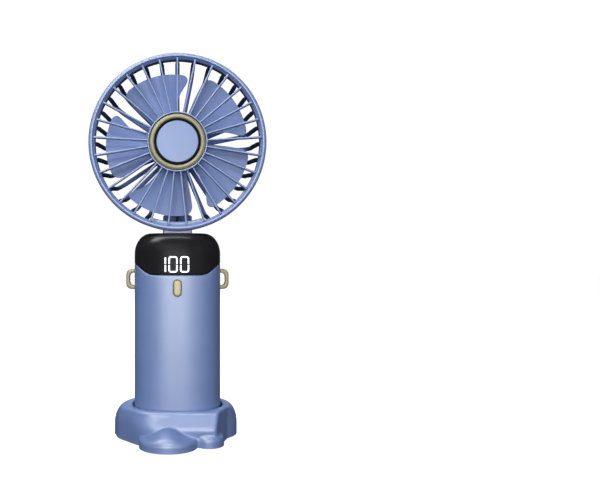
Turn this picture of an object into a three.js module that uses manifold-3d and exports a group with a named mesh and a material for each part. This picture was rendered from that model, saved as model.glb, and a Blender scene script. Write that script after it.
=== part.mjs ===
// A folding handheld fan standing in its cradle. Millimetres, +Z up, the front faces -Y.
// The origin is on the underside of the cradle, below the axis of the handle.
import * as THREE from 'three';
import { mergeVertices } from 'three/addons/utils/BufferGeometryUtils.js';
import { ParametricGeometry } from 'three/addons/geometries/ParametricGeometry.js';
import Module from 'manifold-3d';

const wasm = await Module();
wasm.setup();

// ---------------------------------------------------------------- driving dimensions
const GAP = 0.3; // kept between pieces that touch
const WALL = 1.8; // moulded casing
const FAR = 200; // longer than anything a cutter has to pass through
const PAST = 1; // how far a cutter runs past the face it opens, or a piece runs into its neighbour
const QUARTER = Math.PI / 2;

// Facets on each round shape, or on each curve of an outline.
const FACETS = {
  curve: 8, handle: 40, rounding: 5, capBottom: 3, seam: 3, corner: 4, loop: 6, port: 6, plate: 20,
  panel: 5, moundAround: 22, moundUp: 12, ring: 36, rim: 48, bead: 58, headRoom: 64, ribBend: 3,
  blade: 3, hex: 6, small: 12, bar: 16, bore: 20, board: 24, battery: 32, leadAlong: 24, leadSide: 4,
};

// Handle: a rounded column with a black cap on top.
const HANDLE = { halfWidth: 22.8, halfDepth: 18, power: 2.45, bottom: 4.5, top: 108.4 };
const END_CAP = { height: 5.5, rounding: 4.5, spigot: 2 };
const CAP = { sideZ: 92.4, frontZ: 86.8, flatHalf: 13.3, bendHalf: 16.8, bendZ: 88, bendEase: 2,
  sideHalf: 21.9 };
const CAP_ROUND = { startZ: 97.6, width: 8.6, depth: 5 };

// Hinge between the handle and the head: its pin lies along X.
const HINGE = { y: 4.5, z: 95, barrel: 13.1, halfWidth: 7.65, leadHoleFrom: 99 };
const PIN = { radius: 1.9, hole: 2.2, tail: 13.6, headRadius: 3.2, head: 1.7 };
const WASHER = { radius: 3.8, thickness: 0.8 };
const NUT = { radius: 3.6, thickness: 2.4 };
const BRACKET = { halfWidth: 9.2, wall: 1.2, front: -10.3, back: 15, bottom: 83, corner: 2.4,
  inset: 0.5 };
const SLOT_BOTTOM = 87.5; // of the opening in the back of the casing
const ARM_BACK = 10; // rear face of the neck
const NECK_TOP = 114;

// Head: everything is turned about an axis along Y through this height.
const HEAD_Z = 155.5;
const RING = { outer: 46, lip: 42.7, front: -15, back: -11.8, lipRound: 0.9, outerRound: 1.2 };
const SPOKES = { count: 29, width: 1, front: -14.6, back: -10.8, tipBack: -12, tipLength: 2, overlap: 0.4 };
const HUB = { outer: 15.5, wall: 0.7, front: -15, floorFront: -11.5, floorBack: -10.2 };
const TRIM = { outer: 14.5, inner: 12, front: -14.9, innerRound: 0.5, outerRound: 0.9 };
const GAP_RING_FRONT = -13.4;
const HUB_CAP = { radius: 10.8, edge: 0.5 };
const SHROUD = { outer: 45.6, inner: 43.8, front: -11.5, back: -3.5 };
const WEB = { inner: 41, halfAngle: 18, front: -7.3, back: 12.5 };
const CAGE = { rim: 43.5, rimInner: 42.7, rimFront: -10.4, rimBack: -7.9, back: 17, bendRadius: 8,
  rib: 2.4, count: 32, ribInset: 0.2 };
const CAGE_HUB = { radius: 14.5, front: 13.2, boreBack: 15.6 };
const DUCT = { halfWidth: 3, footHalfWidth: 8, footInner: 37, footOuter: 42.5, front: 12.8,
  grooveInner: 8.5, grooveOuter: 36.5, grooveBack: 16.2 };
const REAR_CAP = { radius: 13.5, front: 17.3, edge: 17.9, back: 18.5, chamfer: 0.8 };

// Rotor and motor.
const IMPELLER = { blades: 5, tip: 38, hub: 14.2, hubFront: -8.6, hubBack: 2, thickness: 1.1,
  hubWall: 1.1, hubFace: 1.4, hubRound: 1, root: 13.7 };
const BLADE_EDGE = { front: -7.6, back: 1.6, left: -52, right: 8.6 };
// Corners of a blade: radius and degrees clockwise from its middle line.
const BLADE = { leftCorner: [35, -47], leftRound: [38, -46.5], tipStart: [38, -41],
  tipAngles: [-32, -23, -14, -5, 4], rightRound: [38, 8.6], rightCorner: [34.5, 8.6], hook: [30, 2],
  hookEnd: [24, 1.3], rightRoot: [13.7, -2] };
const BELL = { outer: 12.6, wall: 1, front: -6.8, back: 6 };
const MAGNET = { outer: 11.3, inner: 10, front: -5, back: 5.4 };
const STATOR = { outer: 9.6, core: 5.6, bore: 3.9, front: -3.2, back: 3.2, teeth: 6,
  toothHalf: 0.8, shoe: 1, overlap: 0.4 };
const COIL = { halfWidth: 1.7, overhang: 0.9 };
const TUBE = { outer: 3.6, inner: 2.9, front: -4.6, back: 15.1 };
const BEARING = { length: 2.5, front: -4.2, rear: 9.5 };
const MOTOR_BOARD = { outer: 11.5, front: 9, back: 10.4 };
const SHAFT = { radius: 1, front: -7.9, back: 12.6 };
// The lead leaves the motor board, follows the duct and goes down through the web into the neck.
// Its route is given in Y and Z from the middle of the head.
const LEAD = { radius: 0.7, hole: 1.3, y: 2, duct: 15.2 };
const LEAD_ROUTE = [[11.4, -7], [12, -9.5], [13.8, -12], [LEAD.duct, -15], [LEAD.duct, -22],
  [LEAD.duct, -29], [12.2, -34], [7, -37], [2.7, -39.2], [LEAD.y, -43], [LEAD.y, -54]];

// Inside the handle.
const BATTERY = { radius: 9.1, y: -4.6, bottom: 12.5, length: 60, knobRadius: 2.8, knob: 1 };
const FRAME = { halfWidth: 14, front: 5, back: 6.2, shelf: 1.2, lowerHalf: 9, lowerFront: -10.6,
  upperHalf: 6, upperFront: -7.6 };
const CHARGE_BOARD = { halfWidth: 9, front: 6.5, back: 7.9, bottom: 16, top: 60 };
const CONTROL_BOARD = { halfWidth: 10.5, front: -12.4, back: -11, bottom: 74.5, top: 99 };
const DISPLAY = { halfWidth: 8.2, front: -15.1, back: -12.7, bottom: 87.6, top: 98.2 };
const PORT = { width: 8.9, height: 3.3, wall: 0.35, z: 28, front: 8.2, back: 17.8 };
const TONGUE = { halfWidth: 3.3, halfThickness: 0.35, back: 16.4, root: 1.5, rootInset: 0.55 };

// Power button and the lanyard loops on the handle's sides.
const BUTTON = { width: 3.6, height: 8, z: 80.2, front: -18.3, back: -15.9, flange: 0.7,
  flangeWidth: 6, flangeHeight: 10.4 };
const TACT = { half: 3, stemRadius: 1.4, face: -14.3, body: -13.8, overlap: 0.5 };
const BEZEL = { width: 4.8, height: 9.2, wall: 0.3, front: -18.05, back: -16.1 };
const LOOP = { height: 10.7, reach: 27.3, inside: 20.3, band: 2, depth: 4, z: 84.2 };

// Cradle.
const CRADLE = { x: -0.9, y: 6, halfWidth: 33.1, halfDepth: 22, power: 2.1, wallTop: 6.2, collar: 17.9,
  bottom: 0.8 };
const SOCKET = { gap: 1.1, floor: 4.2, rim: 2 };
const PANEL = { left: -22.5, right: 20.5, foot: -26, knee: -25.3, kneeZ: 10, ridge: -21.3, ridgeZ: 17.5,
  back: -8, kneeEase: 2, kneeStep: 0.4, ridgeStep: 0.6, cornerStart: -19.3, cornerEase: 1, cornerWidth: 7 };
const DOME = { x: -4.7, y: -23, halfWidth: 14.4, halfDepth: 12.9, height: 11 };
const LOBE = { x: 15.9, y: -18, halfWidth: 7.9, halfDepth: 8.8, height: 7.4 };
const PLATE = { halfWidth: 27, halfDepth: 16.5, y: 5, bottom: 1.1, top: 2.6 };
const PLATE_SCREW = { radius: 1.6, hole: 1.9, top: 1.7, holeTop: 2 };
const PLATE_SCREWS = [[-20, 5], [20, 5], [0, -7.5]];
const PAD = { halfWidth: 23, halfDepth: 13, y: 5, top: 0.8 };

// ---------------------------------------------------------------- solids and booleans
const WELD = 1e-4; // points closer than this are one point

const volumeOf = (positions, triangles) => {
  const [a, b, c] = [new THREE.Vector3(), new THREE.Vector3(), new THREE.Vector3()];
  let volume = 0;
  for (let i = 0; i < triangles.length; i += 3) {
    a.fromArray(positions, triangles[i] * 3);
    b.fromArray(positions, triangles[i + 1] * 3);
    c.fromArray(positions, triangles[i + 2] * 3);
    volume += a.dot(b.cross(c));
  }
  return volume;
};

// A closed geometry as a solid, with its faces turned outwards.
const solid = geometry => {
  const bare = geometry.clone();
  bare.deleteAttribute('normal');
  bare.deleteAttribute('uv');
  const merged = mergeVertices(bare, WELD);
  const positions = merged.attributes.position.array;
  const corners = merged.index.array;
  const kept = [];
  for (let i = 0; i < corners.length; i += 3) {
    const [a, b, c] = corners.slice(i, i + 3);
    if (a !== b && b !== c && c !== a) kept.push(a, b, c);
  }
  if (volumeOf(positions, kept) < 0) kept.reverse();
  return new wasm.Manifold(
    new wasm.Mesh({ numProp: 3, vertProperties: positions, triVerts: new Uint32Array(kept) }),
  );
};

const geometryOf = manifold => {
  const mesh = manifold.getMesh();
  const geometry = new THREE.BufferGeometry();
  geometry.setAttribute('position', new THREE.BufferAttribute(mesh.vertProperties, 3));
  geometry.setIndex(new THREE.BufferAttribute(mesh.triVerts, 1));
  geometry.computeVertexNormals();
  return geometry;
};

const joined = solids => solids.reduce((whole, next) => whole.add(next));

const radians = THREE.MathUtils.degToRad;

// ---------------------------------------------------------------- basic shapes
const box = (x0, x1, y0, y1, z0, z1) => {
  const geometry = new THREE.BoxGeometry(x1 - x0, y1 - y0, z1 - z0);
  return solid(geometry.translate((x0 + x1) / 2, (y0 + y1) / 2, (z0 + z1) / 2));
};

// Turned about Y from outline points of [radius, y]; the outline closes on itself.
const turned = (outline, segments = FACETS.ring) => {
  const points = [...outline, outline[0]].map(([radius, y]) => new THREE.Vector2(radius, y));
  return solid(new THREE.LatheGeometry(points, segments));
};
const ring = (inner, outer, front, back, segments) =>
  turned([[inner, front], [outer, front], [outer, back], [inner, back]], segments);
const disc = (radius, front, back, segments = FACETS.ring) => {
  const geometry = new THREE.CylinderGeometry(radius, radius, back - front, segments);
  return solid(geometry.translate(0, (front + back) / 2, 0));
};
const rodAlongX = (radius, x0, x1, y, z, sides = FACETS.bar) => {
  const geometry = new THREE.CylinderGeometry(radius, radius, x1 - x0, sides);
  return solid(geometry.rotateZ(QUARTER).translate((x0 + x1) / 2, y, z));
};
const rodAlongZ = (radius, z0, z1, x, y, sides = FACETS.bar) => {
  const geometry = new THREE.CylinderGeometry(radius, radius, z1 - z0, sides);
  return solid(geometry.rotateX(QUARTER).translate(x, y, (z0 + z1) / 2));
};

// A shape drawn in X and Z, drawn out along Y.
const alongY = (shape, front, back, curveSegments = FACETS.curve) => {
  const geometry = new THREE.ExtrudeGeometry(shape, {
    depth: back - front, bevelEnabled: false, curveSegments,
  });
  return solid(geometry.rotateX(QUARTER).translate(0, back, 0));
};
// A shape drawn in Y and Z, drawn out along X.
const alongX = (shape, left, right, curveSegments = FACETS.curve) => {
  const geometry = new THREE.ExtrudeGeometry(shape, {
    depth: right - left, bevelEnabled: false, curveSegments,
  });
  return solid(geometry.rotateX(QUARTER).rotateZ(QUARTER).translate(left, 0, 0));
};
// A shape drawn in X and Y, drawn out along Z.
const alongZ = (shape, bottom, top, curveSegments = FACETS.curve) => {
  const geometry = new THREE.ExtrudeGeometry(shape, {
    depth: top - bottom, bevelEnabled: false, curveSegments,
  });
  return solid(geometry.translate(0, 0, bottom));
};

const polygon = corners => new THREE.Shape(corners.map(([x, y]) => new THREE.Vector2(x, y)));

const pill = (width, height, x, y) => {
  const [radius, straight] = [width / 2, (height - width) / 2];
  const shape = new THREE.Shape();
  shape.absarc(x, y + straight, radius, 0, Math.PI, false);
  shape.absarc(x, y - straight, radius, Math.PI, 2 * Math.PI, false);
  return shape;
};

const oval = (halfWidth, halfDepth, x, y) => {
  const shape = new THREE.Shape();
  shape.absellipse(x, y, halfWidth, halfDepth, 0, 2 * Math.PI, false);
  return shape;
};

// A closed body through level sections: section(turn, height) gives a point for turn 0..1.
const lofted = (section, around, along) => {
  const rows = along + 2;
  const centre = new THREE.Vector3();
  const surface = (turn, v, target) => {
    const row = v * rows - 1;
    const t = THREE.MathUtils.clamp(row / along, 0, 1);
    section(turn, t, target);
    if (row < -0.5 || row > along + 0.5) {
      section(0, t, centre);
      section(0.5, t, target);
      target.add(centre).multiplyScalar(0.5);
    }
  };
  return solid(new ParametricGeometry(surface, around, rows));
};

const superellipse = (turn, halfWidth, halfDepth, power, target) => {
  const angle = turn * 2 * Math.PI;
  const bend = value => Math.sign(value) * Math.abs(value) ** (2 / power);
  target.x = halfWidth * bend(Math.cos(angle));
  target.y = halfDepth * bend(Math.sin(angle));
};

// ---------------------------------------------------------------- handle
// The handle's column between two heights, made smaller all round by inset.
const column = (inset, bottom, top) => lofted((turn, t, target) => {
  superellipse(turn, HANDLE.halfWidth - inset, HANDLE.halfDepth - inset, HANDLE.power, target);
  target.z = THREE.MathUtils.lerp(bottom, top, t);
}, FACETS.handle, 1);

// A column whose top edge is rounded like a quarter of an ellipse.
const cappedColumn = (inset, bottom, top) => {
  const { startZ, width, depth } = CAP_ROUND;
  const steps = FACETS.rounding;
  return lofted((turn, t, target) => {
    const row = Math.round(t * steps);
    const angle = (Math.max(row - 1, 0) / (steps - 1)) * QUARTER;
    const pulled = 1 - Math.cos(angle);
    const halfWidth = HANDLE.halfWidth - inset - width * pulled;
    const halfDepth = HANDLE.halfDepth - inset - depth * pulled;
    superellipse(turn, halfWidth, halfDepth, HANDLE.power, target);
    target.z = row === 0 ? bottom : startZ + (top - startZ) * Math.sin(angle);
  }, FACETS.handle, steps);
};

// Everything above the line where the black cap meets the sleeve, moved up by shift.
const aboveSeam = shift => {
  const { sideZ, frontZ, flatHalf, bendHalf, bendZ, bendEase, sideHalf } = CAP;
  const outline = new THREE.Shape();
  outline.moveTo(-FAR, FAR);
  outline.lineTo(-FAR, sideZ);
  outline.lineTo(-sideHalf, sideZ);
  outline.lineTo(-bendHalf, bendZ);
  outline.quadraticCurveTo(bendEase - bendHalf, frontZ, -flatHalf, frontZ);
  outline.lineTo(flatHalf, frontZ);
  outline.quadraticCurveTo(bendHalf - bendEase, frontZ, bendHalf, bendZ);
  outline.lineTo(sideHalf, sideZ);
  outline.lineTo(FAR, sideZ);
  outline.lineTo(FAR, FAR);
  const rear = box(-FAR, FAR, -PAST, FAR, sideZ, FAR);
  return alongY(outline, -FAR, 0, FACETS.seam).add(rear).translate([0, 0, shift]);
};

// The room for the hinge, open at the top and at the back of the casing.
const hingeRoom = () => box(
  -BRACKET.halfWidth - GAP, BRACKET.halfWidth + GAP, BRACKET.front - GAP, FAR, SLOT_BOTTOM, FAR,
);

const pinHole = () => rodAlongX(PIN.hole, -FAR, FAR, HINGE.y, HINGE.z);

const loopLegs = side => {
  const legs = [-1, 1].map(end => {
    const z = LOOP.z + end * (LOOP.height - LOOP.band) / 2;
    const half = LOOP.band / 2 + GAP;
    const [x0, x1] = side < 0 ? [-FAR, 0] : [0, FAR];
    return box(x0, x1, -LOOP.depth / 2 - GAP, LOOP.depth / 2 + GAP, z - half, z + half);
  });
  return joined(legs);
};

const handleSleeve = () => {
  const bottom = HANDLE.bottom + END_CAP.height + GAP;
  const tube = column(0, bottom, HANDLE.top - PAST).subtract(column(WALL, bottom - PAST, HANDLE.top));
  const buttonHole = alongY(pill(BEZEL.width + 2 * GAP, BEZEL.height + 2 * GAP, 0, BUTTON.z), -FAR, 0);
  const cuts = [aboveSeam(-GAP / 2), hingeRoom(), buttonHole, alongY(portOutline(-GAP), 0, FAR),
    loopLegs(-1), loopLegs(1)];
  return tube.subtract(joined(cuts));
};

const handleEndCap = () => {
  const top = HANDLE.bottom + END_CAP.height;
  const steps = FACETS.capBottom + 1;
  const shell = lofted((turn, t, target) => {
    const row = Math.round(t * steps);
    const angle = (Math.min(row, steps - 1) / (steps - 1)) * QUARTER;
    const inset = END_CAP.rounding * (1 - Math.sin(angle));
    superellipse(turn, HANDLE.halfWidth - inset, HANDLE.halfDepth - inset, HANDLE.power, target);
    target.z = row === steps ? top : HANDLE.bottom + END_CAP.rounding * (1 - Math.cos(angle));
  }, FACETS.handle, steps);
  const spigot = column(WALL + GAP, top - PAST, top + END_CAP.spigot);
  return shell.add(spigot).subtract(column(2 * WALL + GAP, HANDLE.bottom + WALL, FAR));
};

const topCap = () => {
  const outer = cappedColumn(0, HANDLE.bottom, HANDLE.top);
  const inner = cappedColumn(WALL, HANDLE.bottom - PAST, HANDLE.top - WALL);
  return outer.intersect(aboveSeam(GAP / 2)).subtract(inner).subtract(hingeRoom());
};

const hingeBracket = () => {
  const { halfWidth, wall, front, back, bottom, corner } = BRACKET;
  const outline = new THREE.Shape();
  outline.moveTo(-halfWidth, back);
  outline.lineTo(-halfWidth, front + corner);
  outline.absarc(-halfWidth + corner, front + corner, corner, 2 * QUARTER, 3 * QUARTER, false);
  outline.absarc(halfWidth - corner, front + corner, corner, 3 * QUARTER, 4 * QUARTER, false);
  outline.lineTo(halfWidth, back);
  outline.lineTo(halfWidth - wall, back);
  outline.absarc(halfWidth - corner, front + corner, corner - wall, 0, -QUARTER, true);
  outline.absarc(-halfWidth + corner, front + corner, corner - wall, 3 * QUARTER, 2 * QUARTER, true);
  outline.lineTo(-halfWidth + wall, back);
  const walls = alongZ(outline, bottom, HANDLE.top, FACETS.corner);
  const casing = cappedColumn(BRACKET.inset, bottom - PAST, HANDLE.top - GAP);
  return walls.intersect(casing).subtract(pinHole());
};

const hingePin = () => {
  const headInner = -BRACKET.halfWidth - GAP;
  const shank = rodAlongX(PIN.radius, headInner - PIN.head / 2, PIN.tail, HINGE.y, HINGE.z);
  return shank.add(rodAlongX(PIN.headRadius, headInner - PIN.head, headInner, HINGE.y, HINGE.z));
};
const hingeWasher = () => {
  const inner = BRACKET.halfWidth + GAP;
  const disk = rodAlongX(WASHER.radius, inner, inner + WASHER.thickness, HINGE.y, HINGE.z);
  return disk.subtract(pinHole());
};
const hingeNut = () => {
  const inner = BRACKET.halfWidth + WASHER.thickness + 2 * GAP;
  const nut = rodAlongX(NUT.radius, inner, inner + NUT.thickness, HINGE.y, HINGE.z, FACETS.hex);
  return nut.subtract(pinHole());
};

const lanyardLoop = side => {
  const half = LOOP.height / 2;
  const straight = LOOP.reach - half;
  const outline = new THREE.Shape();
  outline.moveTo(LOOP.inside, -half);
  outline.lineTo(straight, -half);
  outline.absellipse(straight, 0, half, half, -QUARTER, QUARTER, false);
  outline.lineTo(LOOP.inside, half);
  outline.lineTo(LOOP.inside, half - LOOP.band);
  outline.lineTo(straight, half - LOOP.band);
  outline.absellipse(straight, 0, half - LOOP.band, half - LOOP.band, QUARTER, -QUARTER, true);
  outline.lineTo(LOOP.inside, -half + LOOP.band);
  const band = alongY(outline, -LOOP.depth / 2, LOOP.depth / 2, FACETS.loop);
  return side < 0 ? band.mirror([1, 0, 0]) : band;
};

const powerButton = () => {
  const { width, height, z, front, back, flange, flangeWidth, flangeHeight } = BUTTON;
  const key = alongY(pill(width, height, 0, z), front, back + flange / 2);
  return key.add(alongY(pill(flangeWidth, flangeHeight, 0, z), back, back + flange));
};
const buttonBezel = () => {
  const { width, height, wall, front, back } = BEZEL;
  const outer = alongY(pill(width, height, 0, BUTTON.z), front, back);
  return outer.subtract(alongY(pill(width - 2 * wall, height - 2 * wall, 0, BUTTON.z), -FAR, FAR));
};
const tactSwitch = () => {
  const { half, stemRadius, face, body, overlap } = TACT;
  const stem = disc(stemRadius, face, body + overlap, FACETS.bore).translate([0, 0, BUTTON.z]);
  return box(-half, half, body, CONTROL_BOARD.front - GAP, BUTTON.z - half, BUTTON.z + half).add(stem);
};

// ---------------------------------------------------------------- inside the handle
const batteryCell = () => {
  const { radius, y, bottom, length, knobRadius, knob } = BATTERY;
  const can = rodAlongZ(radius, bottom, bottom + length - knob, 0, y, FACETS.battery);
  return can.add(rodAlongZ(knobRadius, bottom + length - 2 * knob, bottom + length, 0, y));
};

const innerFrame = () => {
  const [bottom, top] = [BATTERY.bottom - GAP, BATTERY.bottom + BATTERY.length + GAP];
  const { halfWidth, front, back, shelf, lowerHalf, lowerFront, upperHalf, upperFront } = FRAME;
  const plate = box(-halfWidth, halfWidth, front, back, bottom - shelf, top + shelf);
  const lower = box(-lowerHalf, lowerHalf, lowerFront, back, bottom - shelf, bottom);
  const upper = box(-upperHalf, upperHalf, upperFront, back, top, top + shelf);
  return joined([plate, lower, upper]);
};

const block = ({ halfWidth, front, back, bottom, top }) =>
  box(-halfWidth, halfWidth, front, back, bottom, top);

const portOutline = inset => {
  const upright = pill(PORT.height - 2 * inset, PORT.width - 2 * inset, 0, 0);
  return polygon(upright.getPoints(FACETS.port).map(point => [point.y, point.x + PORT.z]));
};
const portShell = () => alongY(portOutline(0), PORT.front, PORT.back)
  .subtract(alongY(portOutline(PORT.wall), PORT.front - PAST, FAR));
const portTongue = () => {
  const { halfWidth, halfThickness, back, root, rootInset } = TONGUE;
  const foot = alongY(portOutline(rootInset), PORT.front, PORT.front + root);
  const [z0, z1] = [PORT.z - halfThickness, PORT.z + halfThickness];
  return foot.add(box(-halfWidth, halfWidth, PORT.front + root / 2, back, z0, z1));
};

// ---------------------------------------------------------------- head
// An outline in radius and Y, made into a flat bar of the given width that stands on the axis.
const radialBar = (outline, width, turn) => {
  const bar = alongX(polygon(outline.map(([radius, y]) => [y, radius])), -width / 2, width / 2);
  return bar.rotate([0, turn, 0]);
};

const frontGrille = () => {
  const { outer, lip, front, back, lipRound, outerRound } = RING;
  const bead = turned([[lip, back], [lip, front + lipRound], [lip + lipRound, front],
    [outer - outerRound, front], [outer, front + outerRound], [outer, back]], FACETS.bead);
  const inner = HUB.outer - HUB.wall;
  const cup = turned([[0, HUB.floorFront], [inner, HUB.floorFront], [inner, HUB.front],
    [HUB.outer, HUB.front], [HUB.outer, HUB.floorBack], [0, HUB.floorBack]], FACETS.bead);
  const { count, width, tipBack, tipLength, overlap } = SPOKES;
  const [root, end] = [HUB.outer - overlap, lip + overlap];
  const outline = [[root, SPOKES.front], [end, SPOKES.front], [end, tipBack],
    [lip - tipLength, SPOKES.back], [root, SPOKES.back]];
  const spokes = Array.from({ length: count }, (_, i) => radialBar(outline, width, (i * 360) / count));
  return joined([bead, cup, ...spokes]);
};

const trimRing = () => {
  const { outer, inner, front, innerRound, outerRound } = TRIM;
  const back = HUB.floorFront - GAP;
  return turned([[inner, back], [inner, front + innerRound], [inner + innerRound, front],
    [outer - outerRound, front], [outer, front + outerRound], [outer, back]]);
};
const gapRing = () => ring(HUB_CAP.radius + GAP, TRIM.inner - GAP, GAP_RING_FRONT, HUB.floorFront - GAP);
const hubCap = () => {
  const { radius, edge } = HUB_CAP;
  const back = HUB.floorFront - GAP;
  return turned([[0, HUB.front], [radius - edge, HUB.front], [radius, HUB.front + edge],
    [radius, back], [0, back]]);
};

// A wedge below the axis, halfAngle wide on each side.
const wedgeBelow = halfAngle => {
  const reach = FAR * Math.tan(radians(halfAngle));
  return alongY(polygon([[0, 0], [-reach, -FAR], [reach, -FAR]]), -FAR, FAR);
};

const shroud = () => {
  const { outer, inner, front, back } = SHROUD;
  const wall = ring(inner, outer, front, back, FACETS.rim);
  const belt = ring(WEB.inner, outer, WEB.front, WEB.back, FACETS.rim);
  const web = belt.intersect(wedgeBelow(WEB.halfAngle));
  return wall.add(web).subtract(rodAlongZ(LEAD.hole, -FAR, PAST - WEB.inner, 0, LEAD.y, FACETS.small));
};

// The outline of one rib of the rear cage, from the rim back and in to the hub.
const ribOutline = () => {
  const { rim, back, bendRadius, rib, rimFront, ribInset } = CAGE;
  const outer = rim - ribInset;
  const steps = FACETS.ribBend;
  const bend = radius => Array.from({ length: steps + 1 }, (_, i) => {
    const angle = (i / steps) * QUARTER;
    return [outer - bendRadius + radius * Math.cos(angle), back - bendRadius + radius * Math.sin(angle)];
  });
  const hubEdge = CAGE_HUB.radius - PAST;
  return [[outer, rimFront], ...bend(bendRadius), [hubEdge, back], [hubEdge, back - rib],
    ...bend(bendRadius - rib).reverse(), [outer - rib, rimFront]];
};

const rearCage = () => {
  const { rim, rimInner, rimFront, rimBack, back, rib, count } = CAGE;
  const band = ring(rimInner, rim, rimFront, rimBack, FACETS.rim);
  const hub = disc(CAGE_HUB.radius, CAGE_HUB.front, back);
  const clearOfWeb = i => Math.abs(i - count / 2) * (360 / count) > WEB.halfAngle;
  const ribs = Array.from({ length: count }, (_, i) => i).filter(clearOfWeb)
    .map(i => radialBar(ribOutline(), rib, (i * 360) / count));
  const { halfWidth, footHalfWidth, footInner, footOuter, front } = DUCT;
  const { grooveInner, grooveOuter, grooveBack } = DUCT;
  const duct = box(-halfWidth, halfWidth, back - rib, back, -footInner - PAST, PAST - CAGE_HUB.radius);
  const foot = box(-footHalfWidth, footHalfWidth, front, back, -footOuter, -footInner);
  const bore = disc(TUBE.outer + GAP, CAGE_HUB.front - PAST, CAGE_HUB.boreBack, FACETS.bore);
  const groove = box(-LEAD.hole, LEAD.hole, -FAR, grooveBack, -grooveOuter, -grooveInner);
  return joined([band, hub, duct, foot, ...ribs]).subtract(joined([bore, groove]));
};

const rearHubCap = () => {
  const { radius, front, edge, back, chamfer } = REAR_CAP;
  return turned([[0, front], [radius, front], [radius, edge], [radius - chamfer, back], [0, back]]);
};

const neck = () => {
  const { y, z, barrel, halfWidth, leadHoleFrom } = HINGE;
  const knuckle = rodAlongX(barrel, -halfWidth, halfWidth, y, z, FACETS.handle);
  const arm = box(-halfWidth, halfWidth, y - barrel, ARM_BACK, z, NECK_TOP);
  const headRoom = disc(SHROUD.outer + GAP, -FAR, FAR, FACETS.headRoom).translate([0, 0, HEAD_Z]);
  const leadHole = rodAlongZ(LEAD.hole, leadHoleFrom, FAR, 0, LEAD.y, FACETS.small);
  return knuckle.add(arm).subtract(joined([headRoom, pinHole(), leadHole]));
};

// ---------------------------------------------------------------- rotor and motor
// Corner of a blade at a radius and at an angle clockwise from the top.
const bladePoint = ([radius, degrees]) => [
  radius * Math.sin(radians(degrees)), radius * Math.cos(radians(degrees)),
];

const bladeOutline = () => {
  const { leftCorner, leftRound, tipStart, tipAngles, rightRound, rightCorner } = BLADE;
  const { hook, hookEnd, rightRoot } = BLADE;
  const shape = new THREE.Shape();
  shape.moveTo(...bladePoint([IMPELLER.root, BLADE_EDGE.left]));
  shape.lineTo(...bladePoint(leftCorner));
  shape.quadraticCurveTo(...bladePoint(leftRound), ...bladePoint(tipStart));
  tipAngles.forEach(angle => shape.lineTo(...bladePoint([IMPELLER.tip, angle])));
  shape.quadraticCurveTo(...bladePoint(rightRound), ...bladePoint(rightCorner));
  shape.quadraticCurveTo(...bladePoint(hook), ...bladePoint(hookEnd));
  shape.lineTo(...bladePoint(rightRoot));
  return shape;
};

// Bends a flat blade so that its left edge lies in front of its right edge.
const pitched = manifold => manifold.warp(point => {
  const angle = THREE.MathUtils.radToDeg(Math.atan2(point[0], point[2]));
  const across = (angle - BLADE_EDGE.left) / (BLADE_EDGE.right - BLADE_EDGE.left);
  point[1] += THREE.MathUtils.lerp(BLADE_EDGE.front, BLADE_EDGE.back, across);
});

const impeller = () => {
  const { blades, hub, hubFront, hubBack, thickness, hubWall, hubFace, hubRound } = IMPELLER;
  const [bore, inner, face] = [SHAFT.radius + GAP, hub - hubWall, hubFront + hubFace];
  const cup = turned([[bore, hubFront], [hub - hubRound, hubFront], [hub, hubFront + hubRound],
    [hub, hubBack], [inner, hubBack], [inner, face], [bore, face]]);
  const blade = pitched(alongY(bladeOutline(), 0, thickness, FACETS.blade));
  const turns = Array.from({ length: blades }, (_, i) => blade.rotate([0, (i * 360) / blades, 0]));
  return joined([cup, ...turns]).subtract(ring(bore / 2, inner, face, FAR));
};

const rotorBell = () => {
  const { outer, wall, front, back } = BELL;
  return turned([[SHAFT.radius + GAP, front], [outer, front], [outer, back], [outer - wall, back],
    [outer - wall, front + wall], [SHAFT.radius + GAP, front + wall]]);
};
const rotorMagnet = () => ring(MAGNET.inner, MAGNET.outer, MAGNET.front, MAGNET.back);
const motorShaft = () => disc(SHAFT.radius, SHAFT.front, SHAFT.back, FACETS.bar);

const statorCore = () => {
  const { outer, core, bore, front, back, teeth, toothHalf, shoe, overlap } = STATOR;
  const hub = ring(bore, core, front, back);
  const shoes = ring(outer - shoe, outer, front, back);
  const tooth = box(-toothHalf, toothHalf, front, back, core - overlap, outer - overlap);
  const arms = Array.from({ length: teeth }, (_, i) => tooth.rotate([0, (i * 360) / teeth, 0]));
  const slot = box(-toothHalf, toothHalf, -FAR, FAR, core + overlap, outer + PAST);
  const slots = arms.map((_, i) => slot.rotate([0, ((i + 0.5) * 360) / teeth, 0]));
  return joined([hub, shoes, ...arms]).subtract(joined(slots));
};

const statorCoil = index => {
  const { core, outer, front, back, teeth, toothHalf, shoe } = STATOR;
  const { halfWidth, overhang } = COIL;
  const [lower, upper] = [core + GAP, outer - shoe - GAP];
  const around = box(-halfWidth, halfWidth, front - overhang, back + overhang, lower, upper);
  const tooth = box(-toothHalf - GAP, toothHalf + GAP, front - GAP, back + GAP, 0, FAR);
  return around.subtract(tooth).rotate([0, (index * 360) / teeth, 0]);
};

const bearingTube = () => ring(TUBE.inner, TUBE.outer, TUBE.front, TUBE.back, FACETS.bore);
const bearing = front =>
  ring(SHAFT.radius + GAP, TUBE.inner - GAP, front, front + BEARING.length, FACETS.bar);
const motorBoard = () =>
  ring(TUBE.outer + GAP, MOTOR_BOARD.outer, MOTOR_BOARD.front, MOTOR_BOARD.back, FACETS.board);

const motorLead = () => {
  const route = new THREE.CatmullRomCurve3(LEAD_ROUTE.map(([y, z]) => new THREE.Vector3(0, y, z)));
  const section = oval(LEAD.radius, LEAD.radius, 0, 0).getPoints(FACETS.leadSide);
  return solid(new THREE.ExtrudeGeometry(polygon(section.map(point => [point.x, point.y])), {
    steps: FACETS.leadAlong, extrudePath: route, bevelEnabled: false,
  }));
};

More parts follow.
